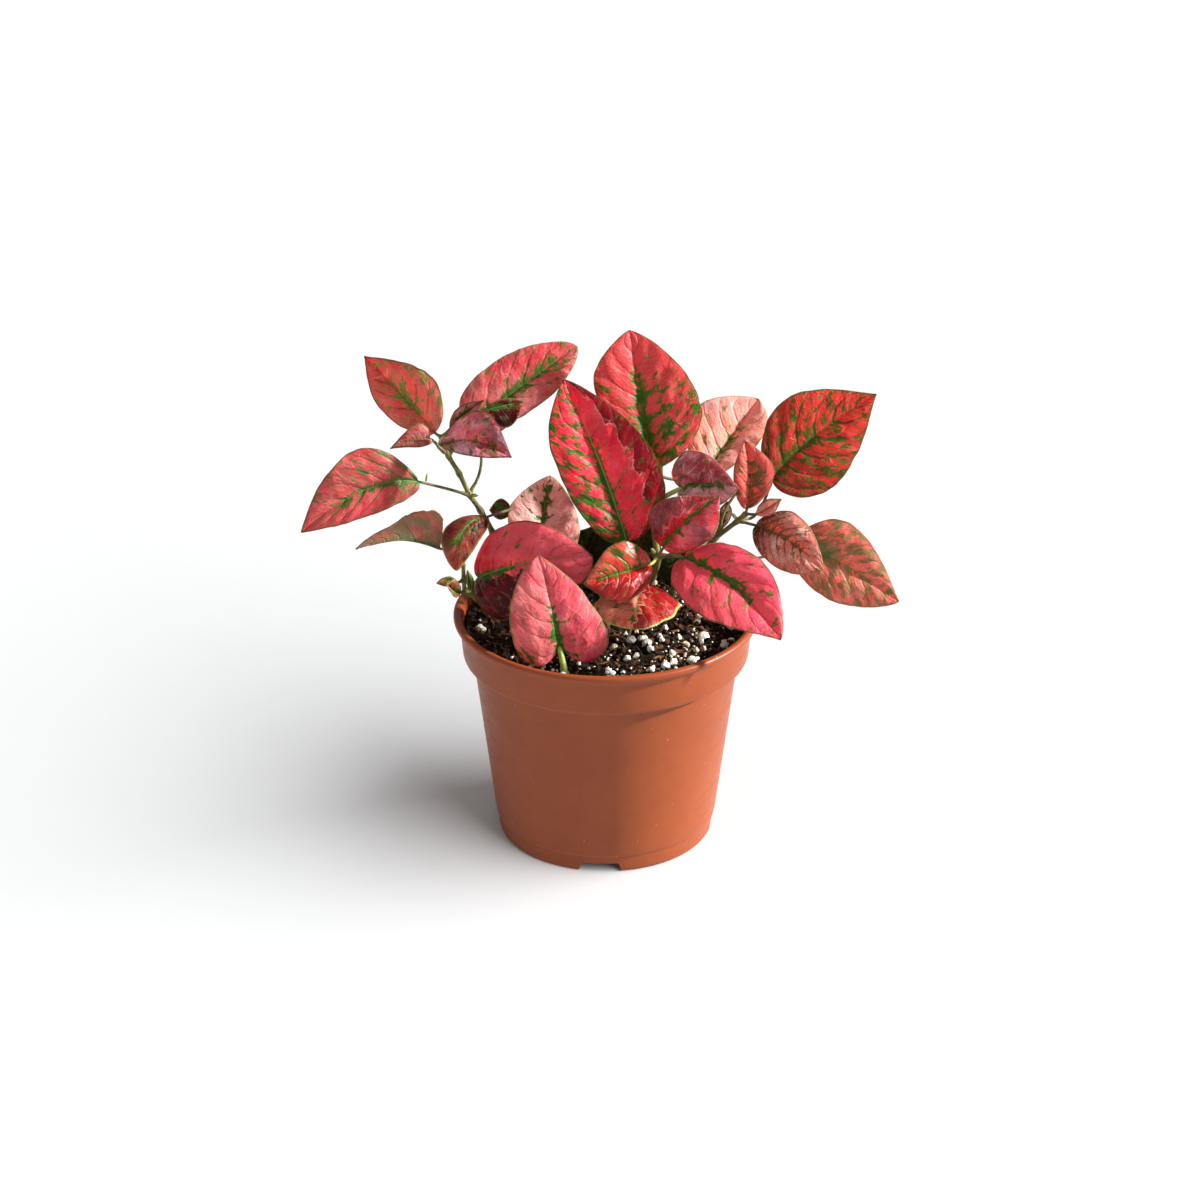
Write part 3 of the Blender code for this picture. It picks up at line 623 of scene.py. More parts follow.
def buildStem(name, spec):
    points = [Vector(spec["foot"])] + [Vector(node) for node in spec["nodes"]]
    points[0].z -= stemShape["sunk"]
    path = smoothPath(points)
    radii = []
    for index, spot in enumerate(path):
        near = min((spot - Vector(node)).length for node in spec["nodes"])
        ring = 1 + spec["swell"] * math.exp(-(near / stemShape["swellReach"]) ** 2)
        taper = stemShape["footWidth"] - stemShape["taper"] * index / (len(path) - 1)
        radii.append(spec["radius"] * taper * ring * stemShape["thickness"])
    # a short rounded end
    path.append(path[-1] + (path[-1] - path[-2]).normalized() * 0.5)
    radii.append(radii[-1] * 0.55)
    bm = bmesh.new()
    sweepTube(bm, path, radii, sides=14)
    return newPiece(camelName(name), bm, [stalkSkins["stem"]], [name])


for stemName, stemSpec in stemSpecs.items():
    buildStem(stemName, stemSpec)
print("stems built")


# leaves

bladeThick = 0.36       # mm
stalkShape = {
    "radius": 0.5,      # mm, as are the next three
    "sunk": 2.0,        # into the mix, where a stalk has its own foot there
    "clearance": 0.3,   # from the stem where it leaves it
    "ribStep": 2.2,
    "steps": 9,
    "flare": (1.7, 1.35),
    "width": 1.12,      # of the radius, past the flare, and thinner at each step
    "thinning": 0.02,
    "ribFrom": 0.02,    # the rib runs under this share of the blade, tapering as it goes
    "ribTo": 0.86,
    "ribWidth": 0.92,
    "ribTaper": 0.7,
}

# what a leaf has unless its own values below say otherwise; heights in mm on a leaf 22 mm wide
leafShape = {
    "blunt": 0.55,     # lower is fuller towards the stalk
    "sharp": 1.0,      # higher is narrower towards the tip
    "heart": 0,        # mm that the lobes reach back past the stalk
    "dome": 1.2,
    "veinCount": 6,
    "veinRise": 0.3,
    "quilt": 0.35,     # pads between the side veins
    "groove": 0.4,     # along the rib
    "ripple": 0.45,    # at the edge, with this many waves
    "waves": 2.6,
    "pucker": 0.75,    # small dents all over
    "stalk": 1.0,      # share of the usual stalk radius
    "under": "rose",
    "stalkSkin": "stalk",
}


def curvePoint(start, middle, end, t):
    control = 2 * middle - (start + end) / 2
    return (1 - t) ** 2 * start + 2 * t * (1 - t) * control + t * t * end


def curveSlope(start, middle, end, t):
    control = 2 * middle - (start + end) / 2
    return (2 * (1 - t) * (control - start) + 2 * t * (end - control)).normalized()


def alongProfile(profile, t):
    # a smooth value between the given (t, value) pairs
    last = len(profile) - 1
    index = min(last - 1, max(0, sum(1 for knot in profile if knot[0] <= t) - 1))
    before, start, end, after = (profile[min(last, max(0, index + k))] for k in (-1, 0, 1, 2))
    u = min(1.0, max(0.0, (t - start[0]) / (end[0] - start[0])))
    width = end[0] - start[0]
    slopeIn = 0 if index == 0 else (end[1] - before[1]) / (end[0] - before[0]) * width
    slopeOut = 0 if index == last - 1 else (after[1] - start[1]) / (after[0] - start[0]) * width
    if index == 0:
        slopeIn = 1.5 * (end[1] - start[1]) - 0.5 * slopeOut
    if index == last - 1:
        slopeOut = 1.5 * (end[1] - start[1]) - 0.5 * slopeIn
    return ((2 * u ** 3 - 3 * u * u + 1) * start[1] + (u ** 3 - 2 * u * u + u) * slopeIn
            + (3 * u * u - 2 * u ** 3) * end[1] + (u ** 3 - u * u) * slopeOut)


def bladeShare(t, peak, blunt, sharp):
    # share of the full half-width at t along the rib
    if t < peak:
        return math.sin(math.pi / 2 * t / peak) ** blunt
    return max(0.0, math.cos(math.pi / 2 * (t - peak) / (1 - peak))) ** sharp


def leafFrame(spec):
    shape = {**leafShape, **spec}
    base, middle, tip = (Vector(spec[key]) for key in ("base", "middle", "tip"))
    chord = tip - base
    shape.update(base=base, middle=middle, tip=tip, length=chord.length)
    for side in ("left", "right"):
        edge = Vector(spec[side])
        peak = min(0.75, max(0.2, (edge - base).dot(chord) / chord.length_squared))
        shape[side + "Half"] = (peak, edge - curvePoint(base, middle, tip, peak))
    shape["across"] = shape["rightHalf"][1] - shape["leftHalf"][1]
    shape["width"] = shape["leftHalf"][1].length + shape["rightHalf"][1].length
    return shape


def bladePoint(shape, s, t):
    # a point of the blade in mm, with its distance from the rib:
    # s runs from -1 at the left edge to 1 at the right one, t from the stalk to the tip
    rib = curvePoint(shape["base"], shape["middle"], shape["tip"], t)
    slope = curveSlope(shape["base"], shape["middle"], shape["tip"], t)
    normal = shape["across"].cross(slope).normalized()
    which = "right" if s > 0 else "left"
    peak, spread = shape[which + "Half"]
    if which + "Outline" in shape:
        share = max(0.0, alongProfile(shape[which + "Outline"], t))
    else:
        share = bladeShare(t, peak, shape.get(which + "Blunt", shape["blunt"]),
                           shape.get(which + "Sharp", shape["sharp"]))
    # never quite closed: half a millimetre wide at the stalk, a hair at the tip
    share = max(share, (0.5 if t < 0.5 else 0.12) / spread.length)
    seed = shape["seed"]
    side = abs(s)
    edgeWander = noise.noise(Vector((t * 4.5, seed, 7.0 if s > 0 else 3.0)))
    edgeWander += 0.6 * noise.noise(Vector((t * 13, seed, 17.0 if s > 0 else 13.0)))
    share *= 1 + 0.04 * edgeWander * side
    half = spread.length * share
    point = rib + spread * side * share
    point += normal * shape["dome"] * 4 * side * (1 - side) * share
    lobe = math.sin(0.75 * math.pi * side ** 1.2)
    point -= slope * shape["heart"] * lobe * (1 - t) ** 3 * min(1, share * 1.3)
    # quilting between the side veins, a groove along the rib and a gentle wave at the edge
    size = min(1.0, shape["width"] / 22)
    order = shape["veinCount"] * (t - shape["veinRise"] * side ** 1.25)
    pad = 0.5 - 0.5 * math.cos(math.tau * order)
    pad = pad ** 0.6 * math.sin(math.pi * min(1, side * 1.02)) ** 0.7 * min(1.0, share * 1.2)
    relief = shape["quilt"] * size * pad
    relief -= shape["groove"] * size * math.exp(-(half * side / 0.8) ** 2) * min(1, 3 * (1 - t))
    wave = math.sin(math.tau * shape["waves"] * t + seed * 1.7 + (2.0 if s > 0 else 0.0))
    relief += shape["ripple"] * size * wave * side ** 3 * min(1.0, share)
    relief += 0.25 * size * noise.noise(Vector((s * 2.2, t * 3.0, seed + 11)))
    # soft puckers a few millimetres across
    across, along = math.copysign(half * side, s), t * shape["length"]
    pucker = noise.noise(Vector((across / 3.6, (along - 0.5 * half * side) / 2.9, seed + 5)))
    relief += shape["pucker"] * size * pucker * min(1.0, side * 2.5) * min(1.0, share * 1.3)
    point += normal * relief
    return point, half * side


def attach(stem, node, towards, half):
    # the point where a stalk that goes towards a point clears the stem
    spec = stemSpecs[stem]
    nodes = spec["nodes"]
    here = Vector(nodes[node])
    away = (Vector(towards) - here).normalized()
    before = Vector(nodes[max(0, node - 1)])
    after = Vector(nodes[min(node + 1, len(nodes) - 1)])
    clear = spec["radius"] + stalkShape["clearance"]
    reach = clear
    for axis in (before - here, after - here, after - before, before - after):
        cosine = axis.normalized().dot(away)
        sine = max(0.25, math.sqrt(max(0.0, 1 - cosine * cosine)))
        if cosine > 0:
            reach = max(reach, (clear + half * cosine) / sine)
    if node == len(nodes) - 1:
        cosine = (here - Vector(nodes[node - 1])).normalized().dot(away)
        sine = math.sqrt(max(0.0, 1 - cosine * cosine))
        if cosine > 0.1:
            reach = min(reach, (stalkShape["clearance"] + half * sine) / cosine)
    return here + away * reach, here


onRib = 0.0001   # s on the rib itself, counted with the right half


def addStalk(bm, shape):
    # the stalk starts inside the stem and runs on under the blade as its rib
    stalk, steps = stalkShape, stalkShape["steps"]
    base, slope = shape["base"], curveSlope(shape["base"], shape["middle"], shape["tip"], 0.0)
    if "foot" in shape:
        root = Vector(shape["foot"])
        inner = root - Vector((0, 0, stalk["sunk"]))
    else:
        stem, node = shape["stem"]
        root, inner = attach(stem, node, shape.get("via", base), 1.1 * stalk["radius"])
    via = (root + base) / 2 - slope * (base - root).length * 0.1
    if "via" in shape:
        via = Vector(shape["via"])
    thick = stalk["radius"] * shape["stalk"]
    path = [inner.lerp(root, 0.35)]
    path += [curvePoint(root, via, base, u / steps) for u in range(steps)]
    radii = [thick * flare for flare in stalk["flare"]]
    radii += [thick * (stalk["width"] - stalk["thinning"] * u) for u in range(1, steps)]
    count = max(6, int(shape["length"] / stalk["ribStep"]))
    for index in range(count + 1):
        t = stalk["ribFrom"] + (stalk["ribTo"] - stalk["ribFrom"]) * index / count
        spot, _ = bladePoint(shape, onRib, t)
        slope = curveSlope(shape["base"], shape["middle"], shape["tip"], t)
        normal = shape["across"].cross(slope).normalized()
        around = thick * (stalk["ribWidth"] - stalk["ribTaper"] * index / count)
        path.append(spot - normal * max(0.2, around - 0.12))
        radii.append(around)
    sweepTube(bm, path, radii, sides=10, skin=2)


def buildLeaf(name, spec, seed, nodes):
    shape = leafFrame(spec)
    shape["seed"] = seed
    size = shape["length"]
    rows = max(12, min(64, int(size / 0.85)))
    columns = max(8, min(44, 2 * int(shape["width"] / 1.9)))
    # the blade in mm feeds the pattern's map "blade", and s and t feed "share"
    bm = bmesh.new()
    bladeUv = bm.loops.layers.uv.new("blade")
    shareUv = bm.loops.layers.uv.new("share")
    bmesh.ops.create_grid(bm, x_segments=columns, y_segments=rows, size=1.0)
    for face in bm.faces:
        for loop in face.loops:
            loop[shareUv].uv = (loop.vert.co.x / 2 + 0.5, 0)
    lateral, along = {}, {}
    for vert in bm.verts:
        s = vert.co.x
        v = (vert.co.y + 1) / 2
        # rows lie closer together near the stalk and the tip
        t = 0.45 * v + 0.55 * (1 - math.cos(math.pi * v)) / 2
        vert.co, off = bladePoint(shape, s, t)
        lateral[vert] = math.copysign(off, s)
        along[vert] = t
    for face in bm.faces:
        for loop in face.loops:
            t = along[loop.vert]
            loop[bladeUv].uv = (lateral[loop.vert] / 100 + 0.5, t * size / 100 + seed * 0.613)
            loop[shareUv].uv.y = t
    sheet = helperObject("blade", bm)
    thicken = sheet.modifiers.new("thickness", "SOLIDIFY")
    thicken.thickness = bladeThick
    thicken.offset = 0.0
    thicken.material_offset = 1
    # two slots, so that the modifier can give the underside its own
    sheet.data.materials.append(underSkins["rose"])
    sheet.data.materials.append(underSkins["rose"])
    bm = finished(sheet)
    addStalk(bm, shape)
    finish = {**upperFinish, **spec.get("finish", {})}
    skins = [leafSkin(camelName(name) + "Skin", spec["look"], finish),
             underSkins[shape["under"]], stalkSkins[shape["stalkSkin"]]]
    return newPiece(camelName(name), bm, skins, nodes, 60)


# base, middle and tip lie on the rib, left and right where each half is widest, in mm;
# stem is the stem and the node that the stalk grows from, via a point it passes;
# an outline gives shares of the half-width from the stalk to the tip
leafSpecs = {
    "leaf_left_top": {
        "base": (-58, 10, 144), "middle": (-68.5, 14, 155.5), "tip": (-81.5, 19, 168),
        "left": (-76, 11, 152), "right": (-58.5, 11, 163.5),
        "stem": ("stem_left", 6), "heart": 2, "slot": "leaf_red",
        "look": {"flesh": (226, 83, 80), "paleFlesh": (221, 129, 109), "deepFlesh": (91, 39, 13),
                 "green": (110, 149, 67), "marginTone": (112, 78, 44), "spots": 0.06, "spotsEdge": 0.2,
                 "spotsRight": 0.22, "ribWidth": 1.6, "ribFrom": 0.28, "ribTo": 0.72, "pale": 0.35,
                 "paleBase": 0.25, "veinShade": 0.75, "crease": 0.7, "hairs": 0.1, "hairsBase": 1},
    },
    "leaf_left_back": {
        "base": (-45, 17, 145), "middle": (-28, 25, 155.5), "tip": (-10, 34, 166),
        "left": (-40, 27, 161.5), "right": (-21.5, 21, 150.5),
        "stem": ("stem_left", 3), "via": (-42.5, 15, 132), "heart": 6, "leftBlunt": 0.35, "sharp": 0.6,
        "slot": "leaf_pink",
        "look": {"flesh": (200, 66, 72), "paleFlesh": (200, 128, 122), "deepFlesh": (150, 48, 62),
                 "marginTone": (126, 108, 74), "spots": 0.08, "spotsTip": 0.28, "spotSoft": 1.6,
                 "ribGreen": 0.85, "ribWidth": 2, "ribTo": 0.82, "feather": 0.9, "pale": 0.52,
                 "deep": 0.12, "margin": 0.7, "crease": 0.4},
    },
    "leaf_left_young_upright": {
        "base": (-52.5, 10, 145.5), "middle": (-47.5, 9, 151), "tip": (-41, 8, 156.5),
        "left": (-49.5, 9, 153.5), "right": (-45.5, 7, 149.5),
        "stem": ("stem_left", 6), "under": "maroon", "slot": "leaf_maroon",
        "look": {"flesh": (153, 48, 40), "paleFlesh": (210, 173, 169), "deepFlesh": (106, 24, 27),
                 "spots": 0.12, "ribLine": 0.3, "crease": 0.5, "hairs": 0.5},
    },
    "leaf_left_young_front": {
        "base": (-56, 5, 141.5), "middle": (-43.5, 1, 144.5), "tip": (-31.5, -5, 141),
        "left": (-41, 2, 155), "right": (-45, -4, 141),
        "stem": ("stem_left", 6), "heart": 1, "blunt": 0.8, "quilt": 0.4, "under": "maroon",
        "slot": "leaf_maroon",
        "look": {"flesh": (178, 70, 81), "paleFlesh": (250, 214, 224), "deepFlesh": (66, 20, 33),
                 "marginTone": (110, 66, 56), "spotsRight": 0.12, "ribGreen": 0.35, "pale": 0.5,
                 "deep": 0.6},
    },
    "leaf_left_low_outer": {
        "base": (-63.5, 4, 128.5), "middle": (-81, -3, 128.5), "tip": (-102.5, -9, 115.5),
        "left": (-79, -6, 120.5), "right": (-82.5, -2, 143),
        "stem": ("stem_left", 3), "heart": 3, "sharp": 0.85, "slot": "leaf_red",
        "look": {"flesh": (203, 78, 84), "paleFlesh": (214, 129, 114), "deepFlesh": (73, 46, 11),
                 "green": (87, 116, 58), "marginTone": (110, 88, 50), "spots": 0.06, "spotsBase": 0.25,
                 "spotsEdge": 0.08, "spotsRight": 0.1, "ribWidth": 1.5, "ribTo": 0.8, "feather": 0.9,
                 "ribLine": 0.9, "pale": 0.42, "deepBase": 0.45, "veinShade": 0.4, "hairs": 0.12},
    },
    "leaf_left_small": {
        "base": (-59.5, 7, 143), "middle": (-66, 3.5, 143.6), "tip": (-72.5, 1, 141.8),
        "left": (-65.5, 1.5, 141.5), "right": (-67, 5, 148.5),
        "leftOutline": [(0, 0.6), (0.15, 0.9), (0.3, 1), (0.5, 0.85), (0.75, 0.45), (0.9, 0.2),
                        (1, 0)],
        "rightOutline": [(0, 0.75), (0.1, 0.95), (0.22, 1), (0.4, 0.84), (0.6, 0.55), (0.8, 0.25),
                         (1, 0)],
        "stem": ("stem_left", 5), "quilt": 1.1, "veinCount": 8, "under": "maroon",
        "slot": "leaf_maroon",
        "look": {"flesh": (158, 66, 66), "paleFlesh": (186, 124, 108), "deepFlesh": (108, 34, 50),
                 "spots": -0.3, "ribGreen": 0, "veinShade": 0.7, "crease": 0.7, "hairs": 1.2},
    },
    "leaf_left_young_dark": {
        "base": (-40.5, 12, 151.5), "middle": (-34, 14, 152.5), "tip": (-28, 16, 153),
        "left": (-35, 15, 154), "right": (-33, 11, 145.5),
        "stem": ("stem_left", 5), "under": "maroon", "slot": "leaf_maroon",
        "look": {"flesh": (83, 4, 2), "paleFlesh": (110, 8, 6), "deepFlesh": (22, 2, 2), "spots": 0.12,
                 "deep": 0.8},
    },
    "leaf_lower_left_folded": {
        "base": (-56.5, 2, 105), "middle": (-70, 0, 109), "tip": (-85, -3, 106.5),
        "left": (-60.5, 0, 120), "right": (-65.5, 12, 107.5),
        "leftOutline": [(0, 0.85), (0.06, 0.97), (0.14, 1), (0.27, 0.93), (0.45, 0.7), (0.62, 0.45),
                        (0.78, 0.27), (0.9, 0.17), (1, 0)],
        "stem": ("stem_lower_left", 4), "sharp": 1.25, "under": "grey", "slot": "leaf_maroon",
        "look": {"flesh": (230, 82, 66), "paleFlesh": (252, 127, 114), "deepFlesh": (133, 37, 34),
                 "spots": 0.4},
    },
    "leaf_lower_left_curled": {
        "base": (-40.5, 3, 116), "middle": (-48.5, -4, 113.5), "tip": (-51, -8, 101),
        "left": (-44, -3, 108), "right": (-55.5, -2, 111.5),
        "stem": ("stem_middle_left", 2), "heart": 1, "sharp": 0.7, "slot": "leaf_red",
        "look": {"flesh": (173, 59, 49), "paleFlesh": (189, 113, 83), "deepFlesh": (31, 9, 2),
                 "marginTone": (136, 110, 58), "spots": 0.08, "spotsRight": 0.1, "deep": 0.8,
                 "deepLeft": 0.5, "foldAt": 0.3, "hairs": 0.25},
    },
    "leaf_lower_left_small": {
        "base": (-32.5, 15, 113), "middle": (-36, 15, 114), "tip": (-40, 14, 113.5),
        "left": (-36.5, 13, 110.5), "right": (-36, 17, 116.5),
        "stem": ("stem_middle_left", 2), "under": "maroon", "slot": "leaf_maroon",
        "look": {"flesh": (104, 44, 38), "paleFlesh": (140, 74, 60), "deepFlesh": (56, 20, 20),
                 "spots": 0.35, "deep": 0.7},
    },
    "leaflet_rim_left_thin": {
        "base": (-50.5, -5, 95), "middle": (-54, -6, 96), "tip": (-57.5, -8, 96),
        "left": (-54, -7, 94.5), "right": (-54, -4, 96.5),
        "stem": ("stem_lower_left", 3), "slot": "leaf_red",
        "look": {"flesh": (170, 82, 78), "paleFlesh": (200, 130, 112), "deepFlesh": (110, 44, 44)},
    },
    "leaflet_rim_left_cupped": {
        "base": (-50, -6, 91.5), "middle": (-52, -9, 93.5), "tip": (-54, -11, 97),
        "left": (-51.5, -11, 92.5), "right": (-51, -8, 97.5),
        "stem": ("stem_lower_left", 2), "slot": "leaf_red",
        "look": {"flesh": (102, 39, 24), "paleFlesh": (153, 95, 63), "deepFlesh": (55, 17, 9),
                 "marginTone": (150, 130, 70), "spots": 0.3},
    },
    "bract_rim_left": {
        "base": (-46, -6, 92.5), "middle": (-46.5, -6, 96), "tip": (-47, -6, 100),
        "left": (-47.5, -6, 96), "right": (-45, -6, 96),
        "stem": ("stem_lower_left", 2), "stalkSkin": "freshStalk", "slot": "bud_skin",
        "look": {"flesh": (150, 150, 70), "paleFlesh": (190, 186, 104), "deepFlesh": (104, 92, 44),
                 "spots": 0.4},
    },
    "leaf_front_left_large": {
        "base": (-44, 2, 93.5), "middle": (-26, -6.5, 103.2), "tip": (-4.5, -10, 107),
        "left": (-30.5, 2.4, 114.4), "right": (-32.5, -12, 84.5),
        "stem": ("stem_lower_left", 1), "heart": 5, "blunt": 0.5, "leftSharp": 0.9, "rightSharp": 0.45,
        "slot": "leaf_pink",
        # the lower half is painted in shade up to half way along, and the tip is painted paler where
        # light falls on it
        "look": {"flesh": (252, 26, 52), "paleFlesh": (252, 100, 112), "deepFlesh": (78, 4, 16),
                 "marginTone": (104, 78, 50), "spots": 0, "spotsBase": 0.1, "spotsRight": 0.06,
                 "ribGreen": 0.8, "ribWidth": 1.8, "ribTo": 0.5, "feather": 0.6, "ribLine": 0.7,
                 "pale": 0.4, "paleTip": 0.55, "deep": 0.3, "deepRight": 0.9, "foldAt": 0.12,
                 "foldTo": 0.5, "veinShade": 0.45, "crease": 0.25},
    },
    "leaf_pale_mid_left": {
        "base": (-20, 6, 96.6), "middle": (-21.5, 11, 111.1), "tip": (-19, 17, 125.1),
        "left": (-33.5, 8, 114.1), "right": (-9, 9, 108.1),
        "stem": ("stem_middle_left", 1), "sharp": 0.75, "slot": "leaf_pale",
        "look": {"flesh": (252, 140, 134), "paleFlesh": (255, 196, 186), "deepFlesh": (161, 45, 32),
                 "marginTone": (190, 168, 112), "spots": 0, "spotsTip": 0.3, "ribGreen": 0.85,
                 "ribWidth": 1.4, "ribFrom": 0.2, "ribTo": 0.95, "feather": 0.7, "pale": 0.7,
                 "deep": 0.3, "crease": 0.6},
    },
    "leaf_front_heart": {
        "base": (-15.5, -32, 83.5), "middle": (-18, -27, 96), "tip": (-22.5, -15, 109.6),
        "left": (-32, -30, 90), "right": (0.3, -29, 89),
        "leftOutline": [(0, 0.12), (0.03, 0.5), (0.08, 0.8), (0.15, 0.93), (0.28, 1), (0.45, 0.97),
                        (0.6, 0.86), (0.75, 0.67), (0.87, 0.45), (0.96, 0.2), (1, 0)],
        "rightOutline": [(0, 0.12), (0.03, 0.5), (0.08, 0.82), (0.14, 0.95), (0.22, 1), (0.38, 0.93),
                         (0.5, 0.82), (0.65, 0.67), (0.8, 0.45), (0.92, 0.2), (1, 0)],
        "foot": (-13.5, -35, 75.4), "heart": 9, "stalkSkin": "freshStalk", "stalk": 2.1,
        "slot": "leaf_pink",
        "look": {"flesh": (238, 72, 96), "paleFlesh": (243, 129, 127), "deepFlesh": (164, 42, 59),
                 "marginTone": (126, 110, 62), "spots": 0, "spotsBase": 0.2, "ribGreen": 0.85,
                 "ribWidth": 1.9, "ribTo": 0.55, "feather": 0.9, "ribLine": 0.2, "pale": 0.6,
                 "deep": 0.5, "veinShade": 0.12, "crease": 0.35},
    },
    "leaf_centre_tall": {
        "base": (7, -2, 109), "middle": (-1.5, 6, 133), "tip": (-14, 14, 161.5),
        "left": (-17.5, 3, 136), "right": (19, 3, 133),
        "stem": ("stem_centre", 2), "heart": 3, "blunt": 0.42, "sharp": 0.8, "slot": "leaf_red",
        # the right part is painted in shade, where other leaves shadow it
        "look": {"flesh": (249, 45, 70), "paleFlesh": (234, 100, 108), "deepFlesh": (129, 3, 18),
                 "marginTone": (84, 72, 36), "ribTone": (140, 158, 104), "spots": 0.06,
                 "spotsBase": 0.25, "spotsEdge": 0.2, "spotsLeft": 0.34, "ribWidth": 1.3,
                 "ribTo": 0.72, "feather": 0.45, "ribLine": 1, "deep": 0.3, "deepRight": 0.85,
                 "foldAt": 0.62, "crease": 0.25},
    },
    "leaf_back_tall": {
        "base": (15.5, 12, 129.5), "middle": (12, 20, 152), "tip": (8, 28, 174),
        "left": (-4, 18, 157), "right": (32.5, 17, 149.5),
        "stem": ("stem_centre", 4), "sharp": 0.75, "slot": "leaf_red",
        "look": {"flesh": (219, 81, 80), "paleFlesh": (209, 83, 82), "deepFlesh": (122, 26, 24),
                 "green": (60, 112, 24), "marginTone": (116, 96, 52), "spots": 0.36, "spotsBase": 0.1,
                 "spotsTip": -0.55, "spotsRight": 0.14, "spotSize": 1.15, "ribGreen": 0.62,
                 "ribWidth": 2.6, "ribTo": 0.7, "feather": 0.4, "ribLine": 0.2, "pale": 0.38},
    },
    "leaf_maroon_folded": {
        "base": (25.5, 4, 126), "middle": (34.5, 0, 129), "tip": (44.5, -5, 130),
        "left": (29, 8, 138.5), "right": (36, -2, 121.5),
        "stem": ("stem_centre", 3), "heart": 6, "quilt": 0.7, "pucker": 0.9, "under": "rose",
        "stalkSkin": "freshStalk", "stalk": 1.7, "slot": "leaf_maroon",
        "look": {"flesh": (163, 49, 59), "paleFlesh": (252, 195, 199), "deepFlesh": (36, 4, 6),
                 "marginTone": (150, 104, 92), "spots": 0.1, "ribGreen": 0.7, "feather": 0.4,
                 "pale": 0.5, "paleRight": 0.5, "deep": 0.9, "crease": 0.5, "hairs": 0.3,
                 "satin": 0.34},
    },
    "leaf_salmon_back": {
        "base": (33, 18, 124), "middle": (43, 29, 133.5), "tip": (53, 38, 145),
        "left": (32, 34, 143.5), "right": (55, 27, 136.5),
        "stem": ("stem_centre", 4), "sharp": 0.8, "slot": "leaf_pale",
        "look": {"flesh": (252, 163, 140), "paleFlesh": (215, 173, 177), "deepFlesh": (198, 74, 83),
                 "green": (59, 129, 35), "marginTone": (168, 140, 86), "spots": 0, "spotsTip": 0.05,
                 "spotsEdge": 0.15, "spotSoft": 1.5, "ribGreen": 0.7, "ribWidth": 2.4, "ribFrom": 0.1,
                 "ribTo": 0.72, "feather": 0.4, "ribLine": 0.2, "pale": 0.5, "deep": 0.1, "margin": 1,
                 "veinShade": 0.1, "crease": 0.3},
    },
    "leaf_red_cupped": {
        "base": (19.5, -7, 109), "middle": (27, -9, 119.5), "tip": (38, -7, 128),
        "left": (16, -8, 124.5), "right": (35.5, -13, 115.5),
        "stem": ("stem_centre", 2), "heart": 2, "slot": "leaf_red",
        "look": {"flesh": (206, 30, 48), "paleFlesh": (229, 121, 139), "deepFlesh": (80, 0, 8),
                 "spots": 0.04, "ribGreen": 1, "ribWidth": 0.9, "ribTo": 0.95, "feather": 0.15,
                 "pale": 0.16, "paleRight": 0.2, "deep": 0.7, "deepLeft": 0.5, "foldAt": 0.35,
                 "veinShade": 0.4, "hairs": 0.45, "satin": 0.26},
        "finish": {"coat": 0.2, "shine": 0.3},
    },
    "leaf_centre_small": {
        "base": (15, -9, 103.5), "middle": (4.5, -16, 103.5), "tip": (-7.5, -20, 101.5),
        "left": (5.5, -22, 95.5), "right": (4, -12, 113),
        "stem": ("stem_centre", 2), "heart": 2, "stalkSkin": "freshStalk", "slot": "leaf_red",
        "look": {"flesh": (195, 29, 25), "paleFlesh": (210, 101, 73), "deepFlesh": (102, 2, 2),
                 "green": (87, 99, 19), "spots": 0.02, "spotsRight": 0.36, "ribGreen": 0.8,
                 "ribWidth": 0.9, "ribTo": 0.9, "feather": 0.4, "ribLine": 0.6, "pale": 0.1,
                 "paleRight": 0.3, "deepLeft": 0.5, "foldAt": 0.3, "crease": 0.5, "satin": 0.34},
        "finish": {"coat": 0.08, "shine": 0.25},
    },
    "leaf_centre_low": {
        "base": (11.5, -5, 95), "middle": (10.5, -18, 93.5), "tip": (8.5, -30, 89.5),
        "left": (25, -13, 90.5), "right": (-4, -19, 92),
        "stem": ("stem_centre", 1), "sharp": 0.6, "stalkSkin": "freshStalk", "slot": "leaf_red",
        "look": {"flesh": (200, 50, 48), "paleFlesh": (252, 153, 123), "deepFlesh": (150, 8, 18),
                 "marginTone": (176, 180, 92), "spots": 0.04, "spotsTip": 0.2, "ribGreen": 0.6,
                 "ribWidth": 0.7, "ribTo": 0.95, "pale": 0.4, "paleTip": 0.2, "deepLeft": 0.8,
                 "deepBase": 0.3, "foldAt": 0.15, "margin": 1, "crease": 0.4},
    },
    "leaf_front_right_large": {
        "base": (26.5, -10, 107), "middle": (42.3, -28, 104.8), "tip": (57.5, -42, 91.3),
        "left": (51.2, -24, 112.4), "right": (28.8, -35, 98.8),
        "stem": ("stem_centre", 2), "heart": 5, "leftSharp": 0.7, "slot": "leaf_red",
        # darker at the base: painted shade in the cupped base
        "look": {"flesh": (252, 92, 112), "paleFlesh": (212, 90, 91), "deepFlesh": (185, 20, 42),
                 "marginTone": (96, 76, 46), "ribTone": (96, 128, 92), "spots": 0.1, "spotsTip": 0.05,
                 "spotsRight": 0.05, "ribGreen": 1, "ribWidth": 1.5, "ribTo": 0.7, "feather": 0.6,
                 "ribLine": 0.45, "deep": 0.3, "deepBase": 0.35},
    },
    "leaf_right_top": {
        "base": (56.5, 9, 127), "middle": (71, 15, 140.5), "tip": (92, 21, 153.5),
        "left": (60, 18, 152), "right": (79, 8, 126.5),
        "stem": ("stem_right", 3), "via": (52, 8, 115.5), "heart": 5, "slot": "leaf_red",
        "look": {"flesh": (200, 58, 46), "paleFlesh": (212, 106, 89), "deepFlesh": (70, 40, 14),
                 "green": (66, 88, 18), "marginTone": (84, 80, 40), "spots": 0.42, "spotsTip": -0.08,
                 "spotsEdge": 0.1, "spotSize": 0.8, "ribGreen": 0.35, "ribWidth": 2.6, "ribTo": 0.7,
